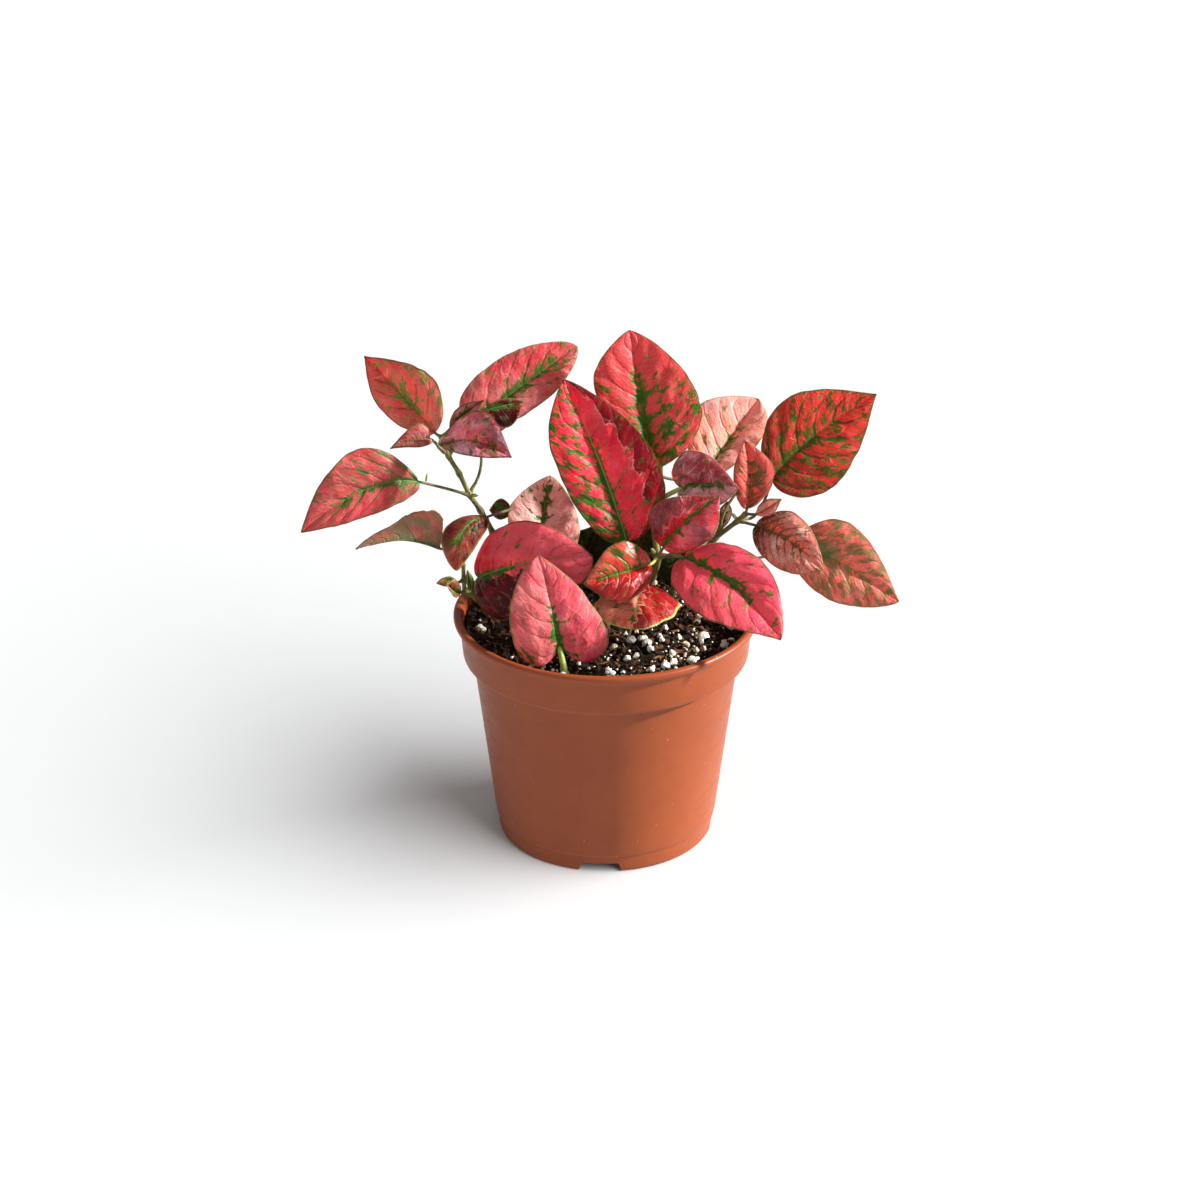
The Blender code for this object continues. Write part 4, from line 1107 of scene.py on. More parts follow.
                 "feather": 0.9, "ribLine": 0.1, "pale": 0.3, "deepBase": 0.35, "margin": 1,
                 "veinShade": 1, "crease": 0.12},
    },
    "leaf_right_folded": {
        "base": (48, 3, 119), "middle": (49, 3, 131), "tip": (46.5, 6, 143),
        "left": (43, 0, 131.5), "right": (56.5, 2, 133.5),
        "stem": ("stem_right", 4), "slot": "leaf_red",
        "look": {"flesh": (208, 96, 83), "paleFlesh": (196, 87, 78), "deepFlesh": (239, 63, 71),
                 "green": (98, 92, 50), "marginTone": (130, 84, 60), "spots": 0.3, "ribGreen": 0.5,
                 "feather": 0.7, "pale": 0.4, "veinShade": 0.45},
    },
    "leaf_right_pleated": {
        "base": (51, 0, 114), "middle": (62, -7, 111.5), "tip": (73, -14, 104),
        "left": (64, -4, 120), "right": (57.5, -10, 103),
        "stem": ("stem_right", 3), "heart": 2, "sharp": 0.8, "quilt": 1.7, "veinCount": 9,
        "slot": "leaf_red",
        "look": {"flesh": (219, 114, 97), "paleFlesh": (252, 231, 213), "deepFlesh": (53, 19, 9),
                 "green": (120, 100, 60), "marginTone": (130, 92, 66), "veinCount": 9, "spots": 0.18,
                 "ribGreen": 0.6, "ribWidth": 1.3, "feather": 0.6, "pale": 0.4, "deepBase": 0.9,
                 "veinShade": 0.9, "crease": 0.3, "hairs": 0.7, "hairsBase": 0.4},
    },
    "leaf_right_low_outer": {
        "base": (63.5, 8, 104.5), "middle": (81, 4, 98), "tip": (100.5, -2, 86.5),
        "left": (82, 8, 112), "right": (75.5, 0, 87),
        "stem": ("stem_right", 1), "via": (52, 5, 99.5), "rightSharp": 0.75, "slot": "leaf_red",
        "look": {"flesh": (240, 124, 110), "paleFlesh": (220, 158, 137), "deepFlesh": (200, 83, 72),
                 "green": (96, 124, 68), "marginTone": (150, 112, 76), "spots": 0.55,
                 "spotsBase": 0.12, "spotsEdge": 0.1, "spotSoft": 3.2, "ribGreen": 0.7, "ribWidth": 4,
                 "ribTo": 0.45, "feather": 0.9, "ribLine": 0.6, "pale": 0.24, "margin": 1,
                 "crease": 0.08},
    },
    "leaf_right_young": {
        "base": (51, -3, 119.5), "middle": (53.5, -4, 121.5), "tip": (59, -4, 125.5),
        "left": (53.5, -4, 125), "right": (56, -5, 120.5),
        "stem": ("stem_right", 4), "slot": "leaf_pale",
        "look": {"flesh": (214, 120, 108), "paleFlesh": (232, 164, 146), "deepFlesh": (170, 74, 70),
                 "spots": -0.3, "hairs": 0.3},
    },
    "leaf_right_sliver": {
        "base": (40, 7, 110.5), "middle": (40.5, 8, 115), "tip": (41.5, 9, 119),
        "left": (38.5, 8, 115), "right": (43, 8, 115),
        "stem": ("stem_right", 2), "slot": "leaf_pale",
        "look": {"flesh": (214, 150, 130), "paleFlesh": (236, 196, 176), "deepFlesh": (170, 100, 90),
                 "spots": 0.1, "crease": 0.4},
    },
    "leaf_rear_centre": {
        "base": (1.5, 24, 105.5), "middle": (-2.5, 36, 113.5), "tip": (-6, 47, 120.5),
        "left": (-12, 32, 111.5), "right": (7, 36, 116),
        "stem": ("stem_middle_left", 1), "slot": "leaf_red",
        "look": {"flesh": (226, 76, 84), "paleFlesh": (238, 118, 116), "deepFlesh": (160, 26, 50),
                 "spots": 0.25, "ribWidth": 2.2},
    },
    "leaf_rear_upper": {
        "base": (19.5, 26, 129), "middle": (20.5, 38, 134.5), "tip": (21, 52, 138.5),
        "left": (11, 36, 133.5), "right": (28.5, 36, 135),
        "stem": ("stem_centre", 3), "via": (18.5, 14, 121), "slot": "leaf_red",
        "look": {"flesh": (228, 70, 86), "paleFlesh": (240, 122, 128), "deepFlesh": (164, 22, 52),
                 "spotsBase": 0.2, "ribWidth": 2, "feather": 0.7},
    },
    "leaf_rear_right_low": {
        "base": (28.5, 20, 97.5), "middle": (33, 34, 99), "tip": (36, 48, 99),
        "left": (25, 34, 101), "right": (41, 32, 97.5),
        "stem": ("stem_right", 1), "slot": "leaf_red",
        "look": {"flesh": (222, 66, 76), "paleFlesh": (236, 112, 110), "deepFlesh": (150, 22, 44),
                 "spots": 0.32, "spotsEdge": 0.2},
    },
    "leaf_rear_left_low": {
        "base": (-25, 24, 90), "middle": (-28, 36, 90.5), "tip": (-30.5, 47, 90),
        "left": (-35.5, 32, 89.5), "right": (-19.5, 38, 93.5),
        "stem": ("stem_middle_left", 0), "slot": "leaf_red",
        "look": {"flesh": (224, 84, 92), "paleFlesh": (240, 134, 130), "deepFlesh": (160, 30, 54),
                 "spots": 0.15, "ribWidth": 2, "pale": 0.55},
    },
    "leaf_rear_right": {
        "base": (59, 18, 130), "middle": (67.5, 30, 131), "tip": (76, 44, 132),
        "left": (63.5, 30, 138.5), "right": (72.5, 26, 125.5),
        "stem": ("stem_right", 2), "via": (44.5, 8, 122.5), "slot": "leaf_red",
        "look": {"flesh": (226, 74, 72), "paleFlesh": (238, 108, 96), "deepFlesh": (150, 30, 36),
                 "spots": 0.38, "spotsEdge": 0.15, "feather": 0.8},
    },
    "leaf_rear_left": {
        "base": (-42.5, 20, 137), "middle": (-36.5, 34, 142.5), "tip": (-29, 46, 147),
        "left": (-44, 32, 145.5), "right": (-29.5, 31, 143),
        "stem": ("stem_left", 6), "slot": "leaf_red",
        "look": {"flesh": (220, 78, 92), "paleFlesh": (236, 128, 130), "deepFlesh": (156, 34, 62),
                 "spots": 0.18, "ribWidth": 1.8, "feather": 0.8},
    },
}

for leafNumber, (leafName, leafSpec) in enumerate(leafSpecs.items()):
    buildLeaf(leafName, leafSpec, leafNumber + 1, [leafName])
print("leaves built,", len(leafSpecs))


# small leaves that fill the heart of the plant, behind the others, painted dark as they look in the shade
# there

paintedShadeLook = {"flesh": (84, 60, 40), "paleFlesh": (116, 96, 60), "deepFlesh": (30, 34, 18),
              "green": (34, 62, 22), "marginTone": (60, 66, 30), "spots": 0.95, "ribLine": 0.3,
              "deep": 0.6}
innerSpecs = {
    "inner_leaf_a": {
        "foot": (-9, 16, 75.3), "base": (-7, 15, 93), "middle": (-5, 13, 101), "tip": (-2, 11, 110),
        "left": (-13.5, 11, 103), "right": (2, 12, 99),
    },
    "inner_leaf_b": {
        "foot": (8, 18, 75.3), "base": (9, 17, 88), "middle": (11.5, 15, 98), "tip": (15, 14, 108),
        "left": (4.5, 13, 98.5), "right": (19, 14, 97),
    },
    "inner_leaf_c": {
        "foot": (24, 14, 75.3), "base": (23, 14, 86), "middle": (25, 13, 94), "tip": (29, 12, 101),
        "left": (18.5, 11, 95.5), "right": (31, 12, 92.5),
    },
    "inner_leaf_d": {
        "foot": (-2, 21, 75.3), "base": (-1, 21, 86), "middle": (1, 20, 94), "tip": (3, 18, 102),
        "left": (-7, 18, 95), "right": (9, 18, 92),
    },
    "inner_leaf_e": {
        "foot": (-17, 22, 75.3), "base": (-16, 22, 86), "middle": (-14, 20, 93), "tip": (-12, 18, 101),
        "left": (-21, 19, 94), "right": (-7, 19, 92),
    },
}

for innerNumber, (innerName, innerSpec) in enumerate(innerSpecs.items()):
    innerSpec.update(slot="leaf_maroon", look=paintedShadeLook, under="maroon", heart=2, waves=1.6)
    buildLeaf(innerName, innerSpec, innerNumber + 51, [])
print("inner leaves built,", len(innerSpecs))


# buds and stubs: two clasped leaf tips with a fold between them

# along is the way it points; length and radius in mm
budSpecs = {
    "bud_left_outer": {"stem": ("stem_left", 3), "along": (-1, -8, 5), "length": 4.0, "radius": 0.95},
    "bud_left_inner": {"stem": ("stem_left", 3), "along": (8, -8, 3), "length": 3.5, "radius": 0.95},
    "bud_centre": {"stem": ("stem_centre", 2), "along": (-4, -6, 9), "length": 3.5, "radius": 0.9},
    "stub_right": {"stem": ("stem_right", 3), "along": (-7, -1, 9), "length": 3.0, "radius": 0.8},
    "stub_left_stalk": {"foot": (-61, 4.2, 128.4), "along": (0.5, 0, 3), "length": 3.4, "radius": 0.42},
}
budLook = {"light": tone(168, 164, 84), "dark": tone(112, 104, 52), "blush": tone(150, 66, 62),
           "sheen": 0.25}


def budSkin(look):
    skin, tree, shader = newSkin("budSkin")
    place = objectPlace(tree)
    soft = cloud(tree, place, 380.0, 3.0, 0.6)
    colour = blendColour(tree, ease(tree, soft, 0.4, 0.6), look["light"], look["dark"])
    blush = ease(tree, cloud(tree, place, 900.0, 3.0, 0.7), 0.55, 0.65, 0.0, 0.8)
    colour = blendColour(tree, blush, colour, look["blush"])
    feed(tree, shader.inputs["Base Color"], colour)
    feed(tree, shader.inputs["Roughness"], ease(tree, soft, 0.3, 0.7, 0.4, 0.55))
    bumpInto(tree, shader, cloud(tree, place, 1800.0, 2.0, 0.6), 0.00012, 0.5)
    setShader(shader, {"Sheen Weight": look["sheen"]})
    return skin


def buildBud(name, spec, skins):
    # round at the foot, drawn in and flattened towards the tip
    along = Vector(spec["along"]).normalized()
    if "foot" in spec:
        foot = Vector(spec["foot"])
    else:
        stem, node = spec["stem"]
        here = Vector(stemSpecs[stem]["nodes"][node])
        foot, _ = attach(stem, node, here + along * 9, spec["radius"])
        foot -= along * 0.5
    bm = bmesh.new()
    bmesh.ops.create_uvsphere(bm, u_segments=20, v_segments=14, radius=1.0)
    turn = Vector((0, 0, 1)).rotation_difference(along).to_matrix()
    for vert in bm.verts:
        height = (vert.co.z + 1) / 2
        around = math.atan2(vert.co.y, vert.co.x)
        full = math.sin(math.pi * min(1, height * 0.9 + 0.12)) ** 0.7 * (1 - 0.35 * height)
        fold = 1 - 0.22 * abs(math.cos(around)) ** 8 * height
        flat = Vector((math.cos(around), math.sin(around) * 0.72, 0)) * spec["radius"] * full * fold
        if height in (0.0, 1.0):
            flat = Vector((0, 0, 0))
        flat.z = spec["length"] * height * 1.04 + 0.16 * math.cos(2 * around) * height ** 3
        vert.co = foot + turn @ flat
    return newPiece(camelName(name), bm, skins, [name], 60)


budFinish = budSkin(budLook)
for budName, budSpec in budSpecs.items():
    buildBud(budName, budSpec, [stalkSkins["stem"] if "stalk" in budName else budFinish])
print("buds built")


# pot: one turned wall, drain notches cut through its foot

potSpec = {
    # radius, height and how much each corner is rounded, in mm, from the inner floor to the foot
    "profile": [(0, 3, 0), (36.9, 3, 0.8), (44.7, 66.2, 0.5), (48.1, 68, 0.5), (49.1, 80.7, 0.6),
                (49.9, 82.0, 0.4), (51.0, 82.5, 0.5), (52.1, 82.2, 0.5), (52.5, 81.3, 0.4),
                (52.2, 80.1, 0.4), (51.0, 79.3, 0.4), (50.3, 78.6, 0.5), (49.35, 67.8, 0.5),
                (48.9, 66.9, 0.35), (46.3, 66.5, 0.6), (45.75, 64.6, 0.8), (38.75, 6.9, 0.4),
                (38.1, 6.0, 0.3), (37.75, 1.0, 0.4), (37.0, 0, 0.35), (34, 0, 0.3), (33.6, 1.5, 0.3),
                (15.6, 1.5, 0.3), (15, 0, 0.3), (0, 0, 0)],
    "height": 82.5,
    "steps": 168,
    "oval": 0.0014,            # out of round at the lip, as a share of the radius
    "wobble": 0.0006,
    "notches": 4,
    "notchTurn": -93,          # degrees
    "notchWidth": 15.7,        # at the foot
    "notchTopWidth": 13.0,
    "notchHeight": 3.6,
    "notchRounding": 0.7,
    "notchRadii": (32.0, 42.0),
}
potFinish = {
    "plastic": tone(140, 65, 29),
    "plasticLight": tone(148, 71, 32),
    "mottle": tone(126, 55, 24),
    "band": tone(144, 61, 28),         # redder and cleaner on the band and the lip
    "bandFrom": 0.066,                 # metres above the ground
    "bandTo": 0.082,
    "speck": tone(232, 196, 160),      # pale grit stuck to the wall
    "rough": (0.36, 0.52),
    "bump": 0.35,
    "glow": 0.08,
}


def notchBlock(spec, index):
    bm = bmesh.new()
    bmesh.ops.create_cube(bm, size=1.0)
    inner, outer = spec["notchRadii"]
    for vert in bm.verts:
        width, top = spec["notchWidth"], -2.0
        if vert.co.z > 0:
            width, top = spec["notchTopWidth"], spec["notchHeight"]
        vert.co = Vector((outer if vert.co.x > 0 else inner, math.copysign(width / 2, vert.co.y), top))
    # the two upper edges that run outwards are rounded
    upperEdges = [edge for edge in bm.edges if edge.calc_face_angle() > 1
                  and all(vert.co.z > 0 for vert in edge.verts)
                  and abs(edge.verts[0].co.x - edge.verts[1].co.x) > 5]
    bmesh.ops.bevel(bm, geom=upperEdges, offset=spec["notchRounding"], segments=3, profile=0.5,
                    affect="EDGES", material=-1)
    angle = math.radians(spec["notchTurn"] + index * 360 / spec["notches"])
    bmesh.ops.rotate(bm, cent=(0, 0, 0), matrix=Matrix.Rotation(angle, 3, "Z"), verts=bm.verts)
    bmesh.ops.scale(bm, vec=(mm, mm, mm), verts=bm.verts)
    return helperObject("notchBlock", bm)


def buildPot(spec, skin):
    bm = bmesh.new()
    knots = [bm.verts.new((r, 0, z)) for r, z, _ in spec["profile"]]
    for first, second in zip(knots, knots[1:]):
        bm.edges.new((first, second))
    for (_, _, soft), knot in zip(spec["profile"], knots):
        if soft:
            bmesh.ops.bevel(bm, geom=[knot], offset=soft, segments=4, profile=0.5,
                            affect="VERTICES", material=-1)
    # long runs get rings of their own, so that the wall shades evenly
    for edge in [edge for edge in bm.edges if edge.calc_length() > 4]:
        bmesh.ops.subdivide_edges(bm, edges=[edge], cuts=int(edge.calc_length() / 3))
    bmesh.ops.spin(bm, geom=bm.verts[:] + bm.edges[:], cent=(0, 0, 0), axis=(0, 0, 1),
                   angle=math.tau, steps=spec["steps"], use_merge=True)
    bmesh.ops.remove_doubles(bm, verts=bm.verts, dist=0.001)
    bmesh.ops.recalc_face_normals(bm, faces=bm.faces)
    for vert in bm.verts:
        # thin moulded plastic is never quite round
        around = math.atan2(vert.co.y, vert.co.x)
        slack = vert.co.z / spec["height"]
        out = 1 + spec["oval"] * slack * math.sin(2 * around + 0.6)
        out += spec["wobble"] * slack * math.sin(5 * around)
        vert.co.x *= out
        vert.co.y *= out
    bmesh.ops.scale(bm, vec=(mm, mm, mm), verts=bm.verts)
    turned = helperObject("potTurned", bm)
    blocks = [notchBlock(spec, index) for index in range(spec["notches"])]
    for block in blocks:
        cut = turned.modifiers.new("notch", "BOOLEAN")
        cut.operation = "DIFFERENCE"
        cut.solver = "EXACT"
        cut.object = block
    bm = finished(turned, blocks)
    bmesh.ops.scale(bm, vec=(1 / mm, 1 / mm, 1 / mm), verts=bm.verts)
    return newPiece("nurseryPot", bm, [skin], ["pot"], 32)


def shiftedPlace(tree, place):
    # the same place, moved and turned, for a pattern that shares nothing with the others
    node = tree.nodes.new("ShaderNodeMapping")
    node.inputs["Location"].default_value = (0.31, 0.17, 0.05)
    node.inputs["Rotation"].default_value = (0.4, 0.2, 0.9)
    feed(tree, node.inputs["Vector"], place)
    return node.outputs["Vector"]


def potSkin(finish):
    skin, tree, shader = newSkin("potPlastic")
    place = objectPlace(tree)
    x, y, z = splitVector(tree, place)
    broad = cloud(tree, place, 26.0, 3.0, 0.55)
    mottle = cloud(tree, place, 240.0, 4.0, 0.6)
    colour = blendColour(tree, ease(tree, broad, 0.3, 0.7), finish["plastic"], finish["plasticLight"])
    colour = blendColour(tree, ease(tree, mottle, 0.35, 0.75, 0.0, 0.25), colour, finish["mottle"])
    onBand = ease(tree, z, finish["bandFrom"], finish["bandTo"], 0.0, 0.25)
    colour = blendColour(tree, onBand, colour, finish["band"])
    specks = cells(tree, shiftedPlace(tree, place), 210.0)
    colour = blendColour(tree, ease(tree, specks, 0.02, 0.05, 0.75, 0.0), colour, finish["speck"])
    feed(tree, shader.inputs["Base Color"], colour)
    # scuffs are drawn out round the wall, and so are the faint rings left by the mould
    scuffPlace = packVector(tree, times(tree, x, 0.5), y, times(tree, z, 3.0))
    scuff = cloud(tree, scuffPlace, 120.0, 5.0, 0.7, 0.6)
    feed(tree, shader.inputs["Roughness"], ease(tree, scuff, 0.35, 0.75, *finish["rough"]))
    rings = cloud(tree, packVector(tree, 0.0, 0.0, z), 900.0, 3.0, 0.6)
    height = timesPlus(tree, rings, 0.25, times(tree, mottle, 0.5))
    bumpInto(tree, shader, height, 0.00012, finish["bump"])
    setShader(shader, {
        "Subsurface Weight": finish["glow"], "Subsurface Radius": (0.004, 0.0015, 0.0008),
        "Subsurface Scale": 0.5, "Specular IOR Level": 0.3})
    return skin


buildPot(potSpec, potSkin(potFinish))
print("pot built")


# potting mix: a lumpy bed, then loose bits over it

mixSpec = {
    "top": 74.6,      # mm above the ground
    "mound": 1.2,     # higher in the middle
    "bank": 4.2,      # higher against the wall on the left
    "radius": 47.9,
    "mouth": 46,      # radius that the mound and the bank are measured by
    # the underside follows the pot's inside wall: radius and height
    "underside": [(47.8, 69.0), (46.5, 67.5), (44.3, 65.8), (37.0, 4.0), (36.0, 3.4), (0.0, 3.4)],
    "steps": 170,
    "rings": 62,
    "seed": 41,
}


def bedHeight(x, y):
    # lumps lie over the mound, from broad ones to fine ones
    radius = math.hypot(x, y)
    lumps = noise.noise(Vector((x * 0.11, y * 0.11, 3.7)))
    height = mixSpec["top"] + mixSpec["mound"] * max(0.0, 1 - (radius / mixSpec["mouth"]) ** 2)
    height += 1.1 * lumps
    height += 0.9 * noise.noise(Vector((x * 0.3, y * 0.3, 9.1)))
    clod = noise.noise(Vector((x * 0.62, y * 0.62, 1.3)))
    height += 0.75 * abs(clod) + 0.35 * noise.noise(Vector((x * 1.5, y * 1.5, 4.4)))
    bank = max(0.0, (-0.9 * x + 0.25 * y) / mixSpec["mouth"])
    return height - 0.4 + mixSpec["bank"] * bank ** 2


def buildBed(spec, skin):
    bm = bmesh.new()
    outline = [(spec["radius"] * (index / spec["rings"]) ** 0.8, spec["top"])
               for index in range(spec["rings"] + 1)]
    knots = [bm.verts.new((r, 0, z)) for r, z in outline + spec["underside"]]
    for first, second in zip(knots, knots[1:]):
        bm.edges.new((first, second))
    bmesh.ops.spin(bm, geom=bm.verts[:] + bm.edges[:], cent=(0, 0, 0), axis=(0, 0, 1),
                   angle=math.tau, steps=spec["steps"], use_merge=True)
    bmesh.ops.remove_doubles(bm, verts=bm.verts, dist=0.01)
    for vert in bm.verts:
        if vert.co.z > spec["top"] - 0.01:
            vert.co.z = bedHeight(vert.co.x, vert.co.y)
    bmesh.ops.recalc_face_normals(bm, faces=bm.faces)
    return newPiece("pottingMixBed", bm, [skin], ["soil"], 70)


def lump(seed, kind, detail, stretch, rough):
    # a small template mesh: a ball or a block pushed out of shape
    bm = bmesh.new()
    if kind == "ball":
        bmesh.ops.create_icosphere(bm, subdivisions=detail, radius=1.0)
    else:
        bmesh.ops.create_cube(bm, size=1.7)
        bmesh.ops.bevel(bm, geom=bm.edges[:], offset=0.22, segments=1, profile=0.5,
                        affect="EDGES", material=-1)
    for vert in bm.verts:
        push = 1 + rough * noise.noise(vert.co * 1.4 + Vector((seed * 3.1, seed, 0)))
        vert.co *= push
        vert.co.x *= stretch[0]
        vert.co.y *= stretch[1]
        vert.co.z *= stretch[2]
    mesh = bpy.data.meshes.new("template")
    bm.to_mesh(mesh)
    bm.free()
    return mesh


def spotInPot(rng, reach):
    angle, radius = rng.uniform(0, math.tau), reach * math.sqrt(rng.random())
    return radius * math.cos(angle), radius * math.sin(angle)


def frontRight(rng, reach):
    # most of the beads washed to the front and right of the pot
    while True:
        x, y = spotInPot(rng, reach)
        lean = (x * 0.6 - y) / mixSpec["mouth"]
        if rng.random() < 0.28 + 0.62 * max(0, lean):
            return x, y


def mixSkin(name, look):
    skin, tree, shader = newSkin(name)
    place = objectPlace(tree)
    clumps = cloud(tree, place, look["clump"], 4.0, 0.6)
    grit = cloud(tree, place, 1500.0, 4.0, 0.7)
    colour = blendColour(tree, ease(tree, clumps, 0.38, 0.64), tone(*look["dark"]), tone(*look["mid"]))
    fleck = ease(tree, grit, 0.56, 0.7, 0.0, look["fleck"])
    colour = blendColour(tree, fleck, colour, tone(*look["light"]))
    feed(tree, shader.inputs["Base Color"], colour)
    rough = ease(tree, grit, 0.3, 0.7, look["rough"] - 0.1, look["rough"])
    feed(tree, shader.inputs["Roughness"], rough)
    bumpInto(tree, shader, timesPlus(tree, clumps, 0.6, grit), 0.0008, look["bump"])
    setShader(shader, {"Specular IOR Level": 0.15})
    return skin


def beadSkin(name, look):
    skin, tree, shader = newSkin(name)
    place = objectPlace(tree)
    light, shade = tone(*look["light"]), tone(*look["shade"])
    soft = cloud(tree, place, 300.0, 3.0, 0.6)
    pits = cells(tree, place, 1900.0)
    stain = cloud(tree, place, 700.0, 4.0, 0.65)
    colour = blendColour(tree, ease(tree, soft, 0.4, 0.65), light, shade)
    dirt = ease(tree, stain, 0.54, 0.7, 0.0, look["dirt"])
    colour = blendColour(tree, dirt, colour, tone(120, 88, 58))
    # darker in the pits: painted shade in the pores
    colour = blendColour(tree, ease(tree, pits, 0.05, 0.3, 0.5, 0.0), colour, shade)
    feed(tree, shader.inputs["Base Color"], colour)
    feed(tree, shader.inputs["Roughness"], ease(tree, soft, 0.3, 0.7, 0.78, 0.92))
    bumpInto(tree, shader, timesPlus(tree, soft, 0.7, pits), 0.0004, 0.7)
    setShader(shader, {"Subsurface Weight": 0.15, "Subsurface Radius": (0.001, 0.0009, 0.0007)})
    return skin


mixLooks = {
    "mixBed": {"dark": (18, 12, 8), "mid": (38, 26, 17), "light": (104, 74, 46),
               "clump": 420, "fleck": 0.5, "rough": 0.95, "bump": 0.9},
    "mixCrumb": {"dark": (22, 14, 10), "mid": (50, 33, 22), "light": (120, 84, 52),
                 "clump": 300, "fleck": 0.4, "rough": 0.95, "bump": 0.7},
    "mixBark": {"dark": (44, 27, 17), "mid": (104, 66, 38), "light": (176, 128, 78),
                "clump": 260, "fleck": 0.5, "rough": 0.9, "bump": 0.6},
    "mixFibre": {"dark": (80, 54, 36), "mid": (134, 100, 66), "light": (180, 150, 108),
                 "clump": 200, "fleck": 0.5, "rough": 0.8, "bump": 0.4},
}
beadLooks = {
    "perliteWhite": {"light": (244, 240, 228), "shade": (214, 204, 186), "dirt": 0.35},
    "perliteCream": {"light": (226, 208, 176), "shade": (190, 162, 122), "dirt": 0.5},
}
mixSkins = {name: mixSkin(name, look) for name, look in mixLooks.items()}
mixSkins.update({name: beadSkin(name, look) for name, look in beadLooks.items()})

# loose bits, from a few template shapes each; size in mm, tilt in radians,
# sit is how far each is lifted off the bed, as a share of its size
bitSpecs = {
    "mixCrumbs": {
        "shapes": range(6), "kind": "ball", "detail": 1, "stretch": (1, 0.8, 0.7), "rough": 0.7,
        "count": 1500, "size": (0.45, 1.5), "tilt": 0.7, "sit": 0.3, "where": spotInPot,
        "reach": 46.5, "skins": ["mixCrumb", "mixCrumb", "mixBark"], "slot": "potting_mix",
        "smooth": 70,
    },
    "mixChips": {
        "shapes": range(5), "kind": "block", "detail": 0, "stretch": (1.5, 0.55, 0.3), "rough": 0.5,
        "count": 260, "size": (0.6, 1.9), "tilt": 0.45, "sit": 0.3, "where": spotInPot,
        "reach": 44, "skins": ["mixBark", "mixCrumb"], "slot": "potting_mix", "smooth": 35,
    },
    "perliteSmall": {
        "shapes": range(20, 24), "kind": "ball", "detail": 1, "stretch": (1, 0.9, 0.85), "rough": 0.35,
        "count": 330, "size": (0.35, 0.85), "tilt": 1.0, "sit": 0.6, "where": frontRight,
        "reach": 46, "skins": ["perliteWhite", "perliteWhite", "perliteCream"], "slot": "perlite",
        "smooth": 70,
    },
    "perliteLarge": {
        "shapes": range(40, 46), "kind": "ball", "detail": 2, "stretch": (1, 0.88, 0.8), "rough": 0.6,
        "count": 64, "size": (0.85, 1.6), "tilt": 1.0, "sit": 0.62, "where": frontRight,
        "reach": 46, "skins": ["perliteWhite"] * 3 + ["perliteCream"], "slot": "perlite",
        "smooth": 70,
    },
}
fibreSpec = {"count": 230, "reach": 43, "length": (2.5, 9), "thick": (0.1, 0.3), "bend": 0.5,
             "lift": 0.5}


def scatterBits(name, spec, rng):
    templates = [lump(seed, spec["kind"], spec["detail"], spec["stretch"], spec["rough"])
                 for seed in spec["shapes"]]
    skins = [mixSkins[skin] for skin in spec["skins"]]
    bm = bmesh.new()
    for _ in range(spec["count"]):
        x, y = spec["where"](rng, spec["reach"])
        size = rng.uniform(*spec["size"])
        turn = Matrix.Rotation(rng.uniform(0, math.tau), 4, "Z")
        turn = turn @ Matrix.Rotation(rng.gauss(0, spec["tilt"]), 4, "X")
        turn = turn @ Matrix.Rotation(rng.gauss(0, spec["tilt"]), 4, "Y")
        place = Matrix.Translation((x, y, bedHeight(x, y) + size * spec["sit"]))
        template = rng.choice(templates)
        stamp(bm, template, place @ turn @ Matrix.Scale(size, 4), rng.randrange(len(skins)))
    for template in templates:
        bpy.data.meshes.remove(template)
    return newPiece(name, bm, skins, (), spec["smooth"])


def buildFibres(spec, rng):
    bm = bmesh.new()
    for _ in range(spec["count"]):
        x, y = spotInPot(rng, spec["reach"])
        angle, bend = rng.uniform(0, math.tau), rng.gauss(0, spec["bend"])
        length = rng.uniform(*spec["length"])
        thick = rng.uniform(*spec["thick"])
        path, radii = [], []
        for part in range(6):
            u = part / 5 - 0.5
            turned = angle + bend * u
            px, py = x + length * u * math.cos(turned), y + length * u * math.sin(turned)
            lift = thick * 0.9 + rng.uniform(0, spec["lift"])
            path.append(Vector((px, py, bedHeight(px, py) + lift)))
            radii.append(thick * (0.5 + math.sin(math.pi * (0.15 + 0.14 * part))))
        sweepTube(bm, path, radii, sides=5)
    return newPiece("mixFibres", bm, [mixSkins["mixFibre"]], (), 70)


def buildMix(spec):
    rng = random.Random(spec["seed"])
    buildBed(spec, mixSkins["mixBed"])
    scatterBits("mixCrumbs", bitSpecs["mixCrumbs"], rng)
    scatterBits("mixChips", bitSpecs["mixChips"], rng)
    buildFibres(fibreSpec, rng)
    scatterBits("perliteSmall", bitSpecs["perliteSmall"], rng)
    scatterBits("perliteLarge", bitSpecs["perliteLarge"], rng)


buildMix(mixSpec)
print("potting mix built")


# the six largest beads stand for their own parts

beadSunk = 0.45   # mm lower than its solid, so that it sits in the mix


def buildBead(name, seed):
    low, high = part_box(name)
    centre, half = (low + high) / 2 / mm, (high - low) / 2 / mm
    bm = bmesh.new()
    bmesh.ops.create_icosphere(bm, subdivisions=4, radius=1.0)
    for vert in bm.verts:
        rough = 0.2 * noise.noise(vert.co * 1.3 + Vector((seed, 0, 0)))
        rough += 0.09 * noise.noise(vert.co * 3.4 + Vector((0, seed, 0)))
        rough += 0.03 * noise.noise(vert.co * 9.0 + Vector((0, 0, seed)))
        vert.co *= 1 + rough
    bmesh.ops.scale(bm, vec=half, verts=bm.verts)
    bmesh.ops.translate(bm, vec=centre - Vector((0, 0, beadSunk)), verts=bm.verts)
    newPiece(camelName(name), bm, [mixSkins["perliteWhite"]], [name], 70)


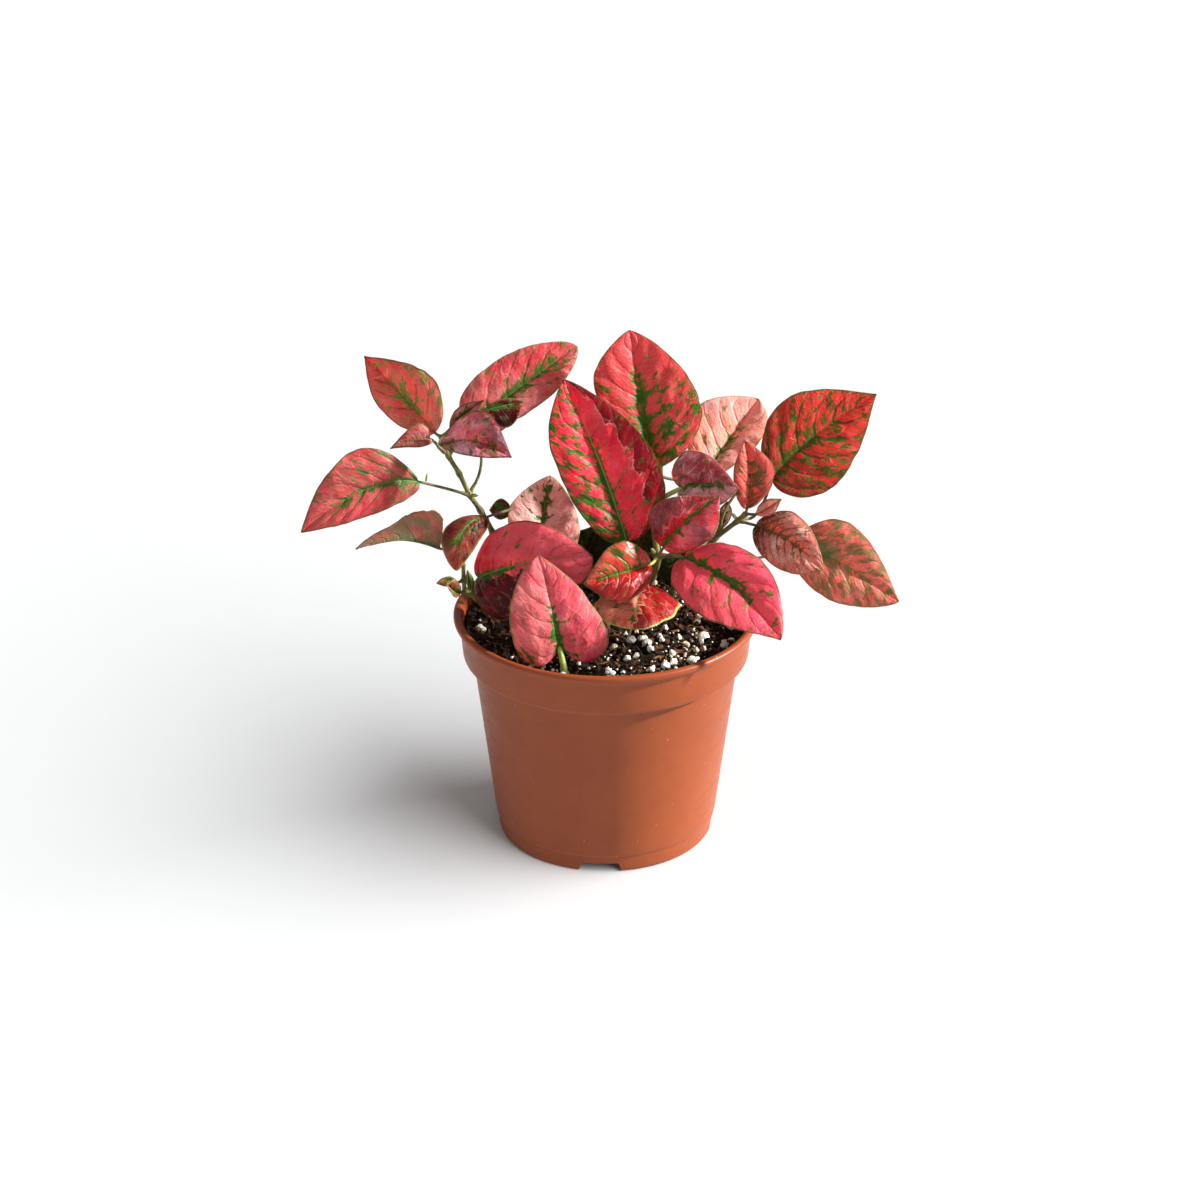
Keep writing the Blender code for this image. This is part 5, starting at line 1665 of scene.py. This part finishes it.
for beadNumber, beadLetter in enumerate("abcdef"):
    buildBead("perlite_" + beadLetter, beadNumber * 5.3)
print("beads built")


# floor, light and camera

studioSpec = {
    "aim": (-0.002, 0.0, 0.086),    # metres
    "distance": 1.0,
    "elevation": 25.4,              # degrees above level
    "lens": 87.3,
    # each sun: how far round to the right and how high in degrees, its strength, its softness in degrees
    "plantSun": (91, 27, 9.0, 3.5),
    "plantFill": (-12, 48, 0.7, 100),
    "floorSun": (71, 34, 5.2, 76),
    "fill": 0.26,                   # pale light from all round
    "floorSize": 6.0,
    "paper": ((0.87, 0.885, 0.888, 1.0), (0.885, 0.9, 0.903, 1.0)),
}


def buildStudio(spec):
    bm = bmesh.new()
    bmesh.ops.create_grid(bm, x_segments=8, y_segments=8, size=spec["floorSize"])
    mesh = bpy.data.meshes.new("studioFloor")
    bm.to_mesh(mesh)
    bm.free()
    floor = bpy.data.objects.new("studioFloor", mesh)
    bpy.context.scene.collection.objects.link(floor)
    skin, tree, shader = newSkin("floorPaper")
    grain = cloud(tree, objectPlace(tree), 40.0, 3.0, 0.5)
    feed(tree, shader.inputs["Base Color"], blendColour(tree, grain, *spec["paper"]))
    setShader(shader, {"Roughness": 0.9, "Specular IOR Level": 0.2})
    mesh.materials.append(skin)

    # each sun lights either the plant and its pot or the floor
    plant = bpy.data.collections.new("plantOnly")
    paper = bpy.data.collections.new("floorOnly")
    paper.objects.link(floor)
    for piece in bpy.context.scene.objects:
        if piece.type == "MESH" and piece != floor:
            plant.objects.link(piece)
    for name, receivers in (("plantSun", plant), ("plantFill", plant), ("floorSun", paper)):
        turn, height, strength, softness = spec[name]
        turn, height = math.radians(turn), math.radians(height)
        towards = Vector((math.sin(turn) * math.cos(height), -math.cos(turn) * math.cos(height),
                          math.sin(height)))
        sun = bpy.data.lights.new(name, "SUN")
        sun.energy = strength
        sun.angle = math.radians(softness)
        lamp = bpy.data.objects.new(name, sun)
        lamp.rotation_euler = towards.to_track_quat("Z", "Y").to_euler()
        lamp.light_linking.receiver_collection = receivers
        bpy.context.scene.collection.objects.link(lamp)

    world = bpy.data.worlds.new("studioWorld")
    bpy.context.scene.world = world
    world.use_nodes = True
    tree = world.node_tree
    sky = tree.nodes["Background"]
    # the backdrop is seen white, and lights the rest less than that
    seen = tree.nodes.new("ShaderNodeLightPath").outputs["Is Camera Ray"]
    feed(tree, sky.inputs["Strength"], ease(tree, seen, 0.0, 1.0, spec["fill"], 1.0))
    sky.inputs["Color"].default_value = (1.0, 1.0, 1.0, 1.0)
    bpy.context.scene.view_settings.view_transform = "Standard"

    height = math.radians(spec["elevation"])
    back = Vector((0, -math.cos(height), math.sin(height)))
    lens = bpy.data.cameras.new("productCamera")
    lens.lens = spec["lens"]
    lens.clip_start = 0.01
    camera = bpy.data.objects.new("productCamera", lens)
    camera.location = Vector(spec["aim"]) + back * spec["distance"]
    camera.rotation_euler = back.to_track_quat("Z", "Y").to_euler()
    bpy.context.scene.collection.objects.link(camera)
    bpy.context.scene.camera = camera


buildStudio(studioSpec)

print("scene ready")
